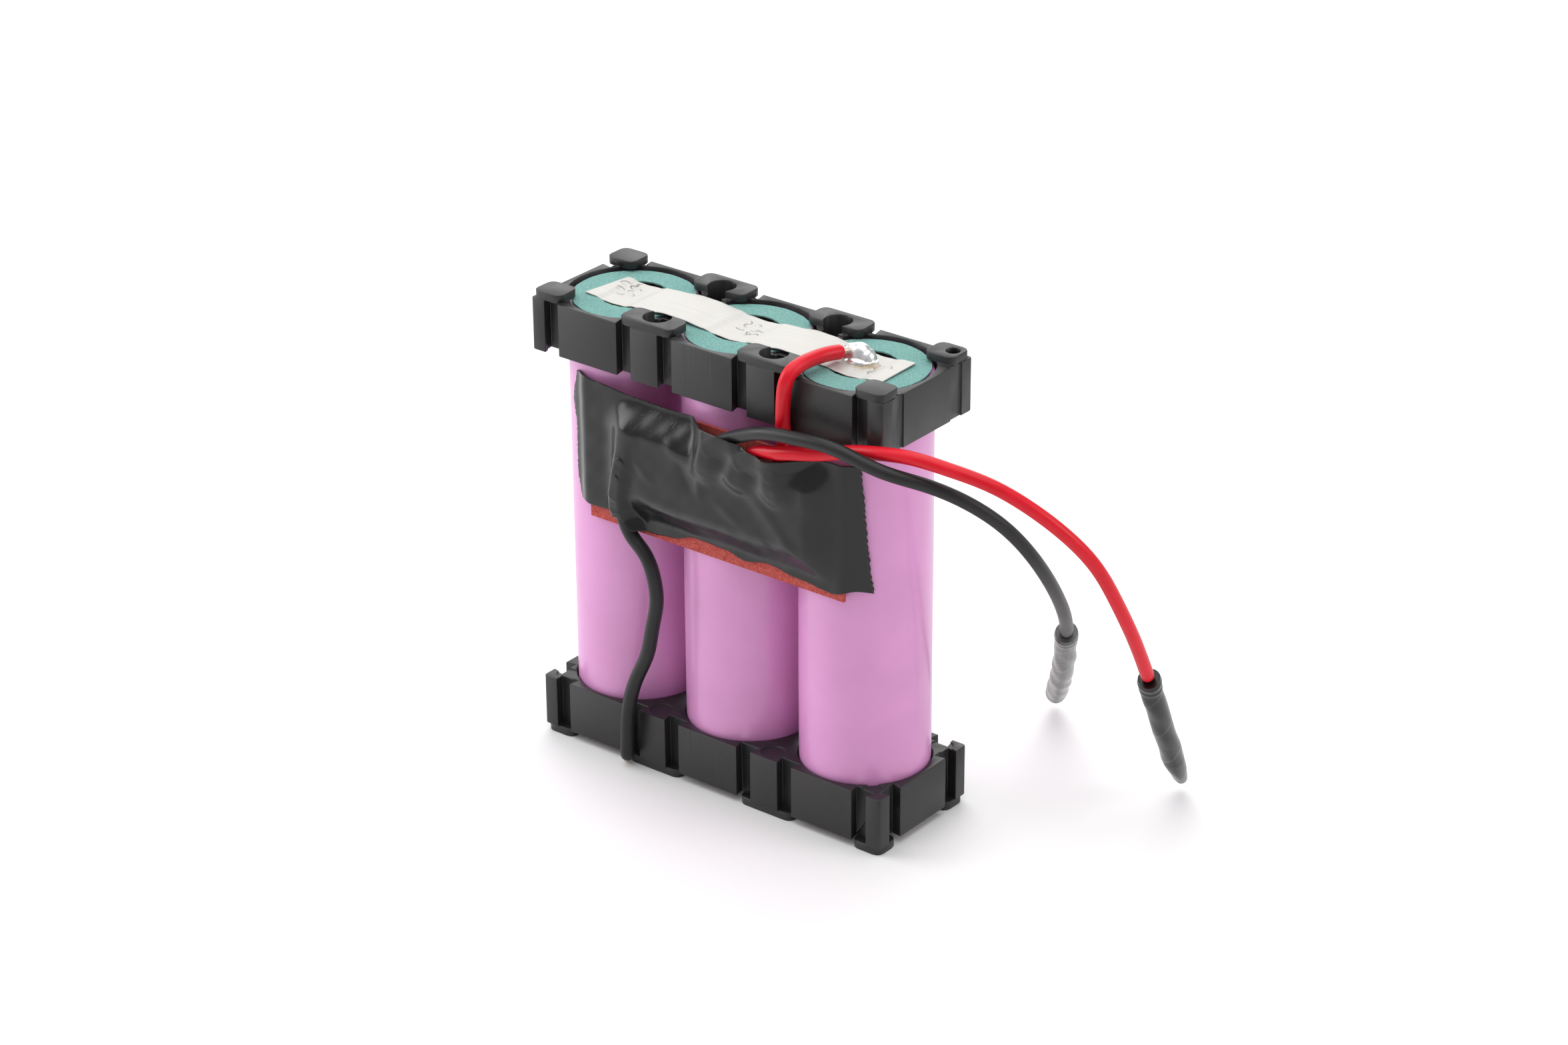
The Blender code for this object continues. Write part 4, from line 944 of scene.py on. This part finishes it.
# Each bump is a line from (x, z) to (x, z) with its height at both ends and its half width.
LEAD_BUMPS = [
    [(2.4, 52.4, 3.9, 55.8, 2.9, 3.3, 2.6), (3.9, 55.8, 7.2, 58.4, 3.3, 3.5, 2.4)],
    [(8.4, 52.6, 9.3, 55.3, 2.9, 3.3, 2.6), (9.3, 55.3, 13.6, 58.0, 3.3, 4.0, 2.4)],
    [(14.5, 52.0, 14.5, 54.8, 2.9, 3.2, 2.6), (14.5, 54.8, 14.9, 57.8, 3.2, 2.8, 2.4)],
    [
        (-12.2, 52.6, -12.6, 48.4, 1.7, 2.7, 1.9), (-12.6, 48.4, -13.1, 46.0, 2.7, 3.1, 1.5),
        (-13.1, 46.0, -13.6, 43.6, 3.1, 3.05, 1.3), (-13.6, 43.6, -13.8, 41.4, 3.05, 2.75, 1.2),
        (-13.8, 41.4, -13.3, 39.3, 2.75, 2.45, 1.1), (-13.3, 39.3, -12.0, 36.8, 2.45, 2.3, 1.1),
    ],
]
# Each fold is a line from (x, z) to (x, z) with its height, less than nought for a dent, and its width.
FOLDS = [
    (-5.0, 54.6, -3.2, 52.8, 0.25, 0.9), (-3.2, 52.8, -0.8, 52.4, 0.3, 1.0),
    (-0.8, 52.4, 1.0, 50.2, 0.3, 0.9), (1.0, 50.2, 1.2, 47.4, 0.22, 0.7),
    (-2.2, 51.2, -0.6, 48.2, -0.22, 0.8), (6.6, 52.0, 10.4, 50.1, 0.12, 1.1),
    (10.4, 50.1, 12.6, 48.4, 0.28, 1.2), (12.6, 48.4, 15.9, 44.9, 0.34, 1.1),
    (15.9, 44.9, 20.2, 40.9, 0.3, 0.9), (4.4, 47.2, 8.9, 44.9, 0.24, 0.9),
    (10.8, 46.6, 13.8, 43.4, -0.12, 0.9), (-6.4, 43.7, -0.9, 43.9, 0.1, 1.3),
    (-0.9, 43.9, 5.2, 43.8, 0.1, 1.3), (12.2, 43.5, 13.4, 43.1, 0.16, 0.3),
    (24.1, 56.6, 24.2, 49.0, 0.16, 0.45), (24.2, 49.0, 24.7, 40.5, 0.16, 0.45),
    (21.9, 52.0, 22.4, 42.0, -0.08, 0.9), (-15.4, 53.6, -15.8, 42.5, -0.2, 1.2),
    (-10.9, 51.8, -10.8, 46.0, -0.12, 1.3), (-11.2, 45.2, -10.2, 42.6, -0.25, 1.5),
    (-10.2, 42.6, -6.4, 40.9, -0.2, 1.6), (-10.6, 54.7, -10.2, 49.4, 0.18, 0.9),
    (-10.2, 49.4, -7.4, 47.2, 0.2, 0.8), (18.4, 54.2, 20.6, 49.0, 0.1, 1.0),
    (3.2, 49.4, 5.6, 51.8, -0.2, 1.0),
]



def distance_to(x, z, x0, z0, x1, z1):
    """The distance from (x, z) to a line between two points, and the share along it of its foot."""
    length = (x1 - x0) ** 2 + (z1 - z0) ** 2
    share = np.clip(((x - x0) * (x1 - x0) + (z - z0) * (z1 - z0)) / length, 0.0, 1.0)
    return np.hypot(x - x0 - share * (x1 - x0), z - z0 - share * (z1 - z0)), share


def plateau(value, low, high, low_ease, high_ease):
    """One between low and high, easing to nought outside them over the two given lengths."""
    a = np.clip((value - low + low_ease) / low_ease, 0.0, 1.0)
    b = np.clip((high + high_ease - value) / high_ease, 0.0, 1.0)
    return (3 * a**2 - 2 * a**3) * (3 * b**2 - 2 * b**3)


def tape_relief(x, z):
    """How far the tape stands off its base: the larger of the board's and the leads' bumps, blended by
    adding their fourth powers, and the folds on top of that, but never less than what the board and
    its parts need."""
    board = BOARD_RISE * plateau(x, -11.6, 18.6, 6.5, 5.2) * plateau(z, 44.6, 52.8, 5.6, 5.2)
    swell = SWELL_RISE * plateau(x, 2.6, 14.6, 4.8, 6.2) * plateau(z, 53.0, 58.0, 6.4, 3.0)
    total = board**4 + swell**4
    for route in LEAD_BUMPS:
        bump = np.zeros_like(x + z)
        for x0, z0, x1, z1, rise0, rise1, width in route:
            distance, share = distance_to(x, z, x0, z0, x1, z1)
            rise = rise0 + (rise1 - rise0) * share
            bump = np.maximum(bump, rise * np.exp(-((np.maximum(distance - 0.7, 0.0) / width) ** 2)))
        total = total + bump**4
    relief = total**0.25
    for x0, z0, x1, z1, rise, width in FOLDS:
        distance, share = distance_to(x, z, x0, z0, x1, z1)
        fold = FOLD_SHARE * rise * np.exp(-((distance / width) ** 2))
        relief = relief + fold * (0.55 + 0.45 * np.sin(math.pi * share))
    least = 1.0 * plateau(x, -13.7, 19.7, 2.4, 2.4) * plateau(z, 42.2, 54.4, 2.4, 2.4)
    for part in [*DARK_CHIPS, "capacitor", *BOARD_JOINTS]:
        low_corner, high_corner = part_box(part)
        rise = (ROW_Y - low_corner.y) / MM + TAPE_BASE + 0.1
        near = plateau(x, low_corner.x / MM - 0.2, high_corner.x / MM + 0.2, 3.2, 3.2)
        near = near * plateau(z, low_corner.z / MM - 0.2, high_corner.z / MM + 0.2, 3.2, 3.2)
        least = np.maximum(least, rise * near)
    relief = 0.5 * (relief + least + np.sqrt((relief - least) ** 2 + 0.03))
    fine = 0.04 * np.sin(x * 0.9 + z * 0.5) * np.sin(z * 0.8 - x * 0.3)
    fine = fine + 0.015 * np.sin(x * 2.1 - z * 1.7)
    return np.maximum(relief, 0.0) + fine + 0.06


def tape_base(x):
    """The tape's own line in plan: round the first cell, flat across the backing, and straight from its
    edge towards the last cell. A running mean rounds the corners."""
    wide = np.linspace(-27.0, 30.0, 1141)
    radius = CELL_RADIUS / MM + 0.12
    first, last = CELL_CENTRES[0] / MM, CELL_CENTRES[2] / MM
    round_first = -np.sqrt(np.clip(radius**2 - (wide - first) ** 2, 1.0, None))
    left_edge, right_edge = backing_low.x / MM, backing_high.x / MM
    leaning = TAPE_BASE + (wide - right_edge) * 1.11
    round_last = -np.sqrt(np.clip(radius**2 - (wide - last) ** 2, 1.0, None))
    plan = np.where(wide < left_edge - 1.3, round_first, TAPE_BASE)
    plan = np.where(wide > right_edge, np.minimum(leaning, round_last), plan)
    kernel = np.hanning(61)
    padded = np.pad(plan, 30, mode="edge")
    plan = np.convolve(padded, kernel / kernel.sum(), mode="valid")
    return np.interp(x, wide, plan)


def vinyl_tape():
    """Black vinyl tape: satin, with pale dust, a fine pebble from the roll and, along its edges, the
    thin raised squiggles where it was stretched."""
    made, tree, shader = finish_of("vinyl_tape", Specular_IOR_Level=0.4)
    marks = mottle(tree, 170.0, 3000.0, 520.0, 0.05)
    base = mottled(tree, marks, (0.0045, 0.0045, 0.0047), (0.007, 0.007, 0.0073), (0.5, 0.5, 0.48), 0.7)
    coloured(tree, shader, base, ranged(tree, marks[0], 0.2, 0.27))
    lay = node(tree, "UVMap", uv_map="lay").outputs[0]
    share = node(tree, "SeparateXYZ", {0: lay}).outputs
    top = ranged(tree, share[1], 0.0, 1.0, 0.76, 0.86)
    low = ranged(tree, share[1], 1.0, 0.0, 0.10, 0.20)
    left = ranged(tree, share[0], 1.0, 0.0, 0.42, 0.55)
    edge = worked(tree, "MULTIPLY", worked(tree, "MAXIMUM", top, low), left)
    place = node(tree, "TexCoord").outputs["Object"]
    field = noise(tree, place, 620.0, 1.0)[0]
    off = worked(tree, "ABSOLUTE", worked(tree, "SUBTRACT", field, 0.5))
    crease = ranged(tree, off, 1.0, 0.0, 0.0, 0.014)
    gate = ranged(tree, marks[0], 0.0, 1.0, 0.44, 0.56)
    crease = worked(tree, "MULTIPLY", worked(tree, "MULTIPLY", crease, gate), edge)
    under = bumped(tree, shader, marks[1], 0.12, 0.03 * MM)
    bumped(tree, shader, crease, 0.4, 0.035 * MM, under)
    return made


def tape_patch():
    """A sheet over (share across, share up). Both ends are toothed: x steps in and out as a triangle
    wave of the height, and the teeth fade out within a millimetre and a half of the end."""
    rows, columns = 150, 215
    up = np.linspace(0.0, 1.0, rows)[:, None]
    share = np.linspace(0.0, 1.0, columns)[None, :]
    side = 38.6 + 19.4 * up
    left = smooth_heights([(38.0, -22.7), (43.1, -23.7), (49.4, -23.6), (54.0, -24.3), (58.4, -23.2)], side)
    right = smooth_heights([(38.0, 26.9), (42.6, 26.5), (47.5, 26.2), (51.5, 26.0), (57.0, 25.7)], side)
    tooth = np.abs((side / 1.12 + 0.2 * np.sin(side * 1.1)) % 1.0 - 0.5) * 2 - 0.5
    tooth = tooth * (0.75 + 0.25 * np.sin(side * 1.9))
    left_tooth = np.abs((side / 1.15 + 0.25 * np.sin(side * 2.3)) % 1.0 - 0.5) * 2 - 0.5
    left_tooth = left_tooth * (0.7 + 0.3 * np.sin(side * 2.6))
    x = left + (right - left) * share
    x = x + 0.2 * tooth * np.exp(-(((1 - share) * TAPE_LENGTH / TOOTH_FADE) ** 2))
    x = x + 0.26 * left_tooth * np.exp(-((share * TAPE_LENGTH / TOOTH_FADE) ** 2))
    high, low = smooth_heights(TOP_EDGE, x), smooth_heights(BOTTOM_EDGE, x)
    z = low + (high - low) * up
    near_end = np.clip(np.minimum(x - left, right - x) / 4.0, 0.0, 1.0)
    relief = tape_relief(x, z) * (0.15 + 0.85 * (3 * near_end**2 - 2 * near_end**3)) + 0.02
    y = tape_base(x) - relief
    grid = np.stack([x * MM, ROW_Y + y * MM, z * MM], axis=2)
    piece = skin("tape_over_board", grid, vinyl_tape(), closed_round=False, capped=False)
    wall = piece.modifiers.new("wall", "SOLIDIFY")
    wall.thickness = TAPE_THICKNESS
    wall.offset = 0.0
    stands_for(piece, "tape_patch")


tape_patch()


# Floor and light: a plain pale floor under a white sky, with soft boxes above, behind, to the left of
# the camera and to its right.
def pale_floor():
    """A matt white board, barely uneven in tone."""
    made, tree, shader = finish_of("pale_floor", Roughness=0.6)
    marks = mottle(tree, 12.0, 900.0)
    base = mixed(tree, marks[0], (0.86, 0.86, 0.86), (0.88, 0.88, 0.88))
    coloured(tree, shader, base)
    return made


floor_grid = np.array([[(-3.0, -3.0, 0.0), (3.0, -3.0, 0.0)], [(-3.0, 3.0, 0.0), (3.0, 3.0, 0.0)]])
floor = skin("floor", floor_grid, pale_floor(), closed_round=False, capped=False)

world = bpy.data.worlds.new("studio")
world.use_nodes = True
world.node_tree.nodes["Background"].inputs["Color"].default_value = (1.0, 1.0, 1.0, 1.0)
world.node_tree.nodes["Background"].inputs["Strength"].default_value = 0.5
bpy.context.scene.world = world
bpy.context.scene.view_settings.view_transform = "Standard"


def soft_box(name, azimuth, elevation, distance, size, brightness):
    """A square light that faces the pack's middle from a direction given in degrees, the azimuth from
    the front towards the right. Its power is the brightness times pi times its area."""
    lamp = bpy.data.lights.new(name, "AREA")
    lamp.size = size
    lamp.energy = brightness * math.pi * size**2
    made = bpy.data.objects.new(name, lamp)
    bpy.context.scene.collection.objects.link(made)
    turn, rise = math.radians(azimuth), math.radians(elevation)
    away = Vector((math.sin(turn) * math.cos(rise), -math.cos(turn) * math.cos(rise), math.sin(rise)))
    made.location = Vector((0.0, 0.0, 0.035)) + away * distance
    made.rotation_euler = away.to_track_quat("Z", "Y").to_euler()


soft_box("box_above", 0.0, 88.0, 0.9, 1.0, 1.9)
soft_box("box_behind", 218.0, 32.0, 1.6, 1.6, 1.45)
soft_box("box_left", -66.0, 24.0, 0.9, 0.6, 3.6)
soft_box("box_right", 112.0, 26.0, 0.9, 0.45, 3.2)
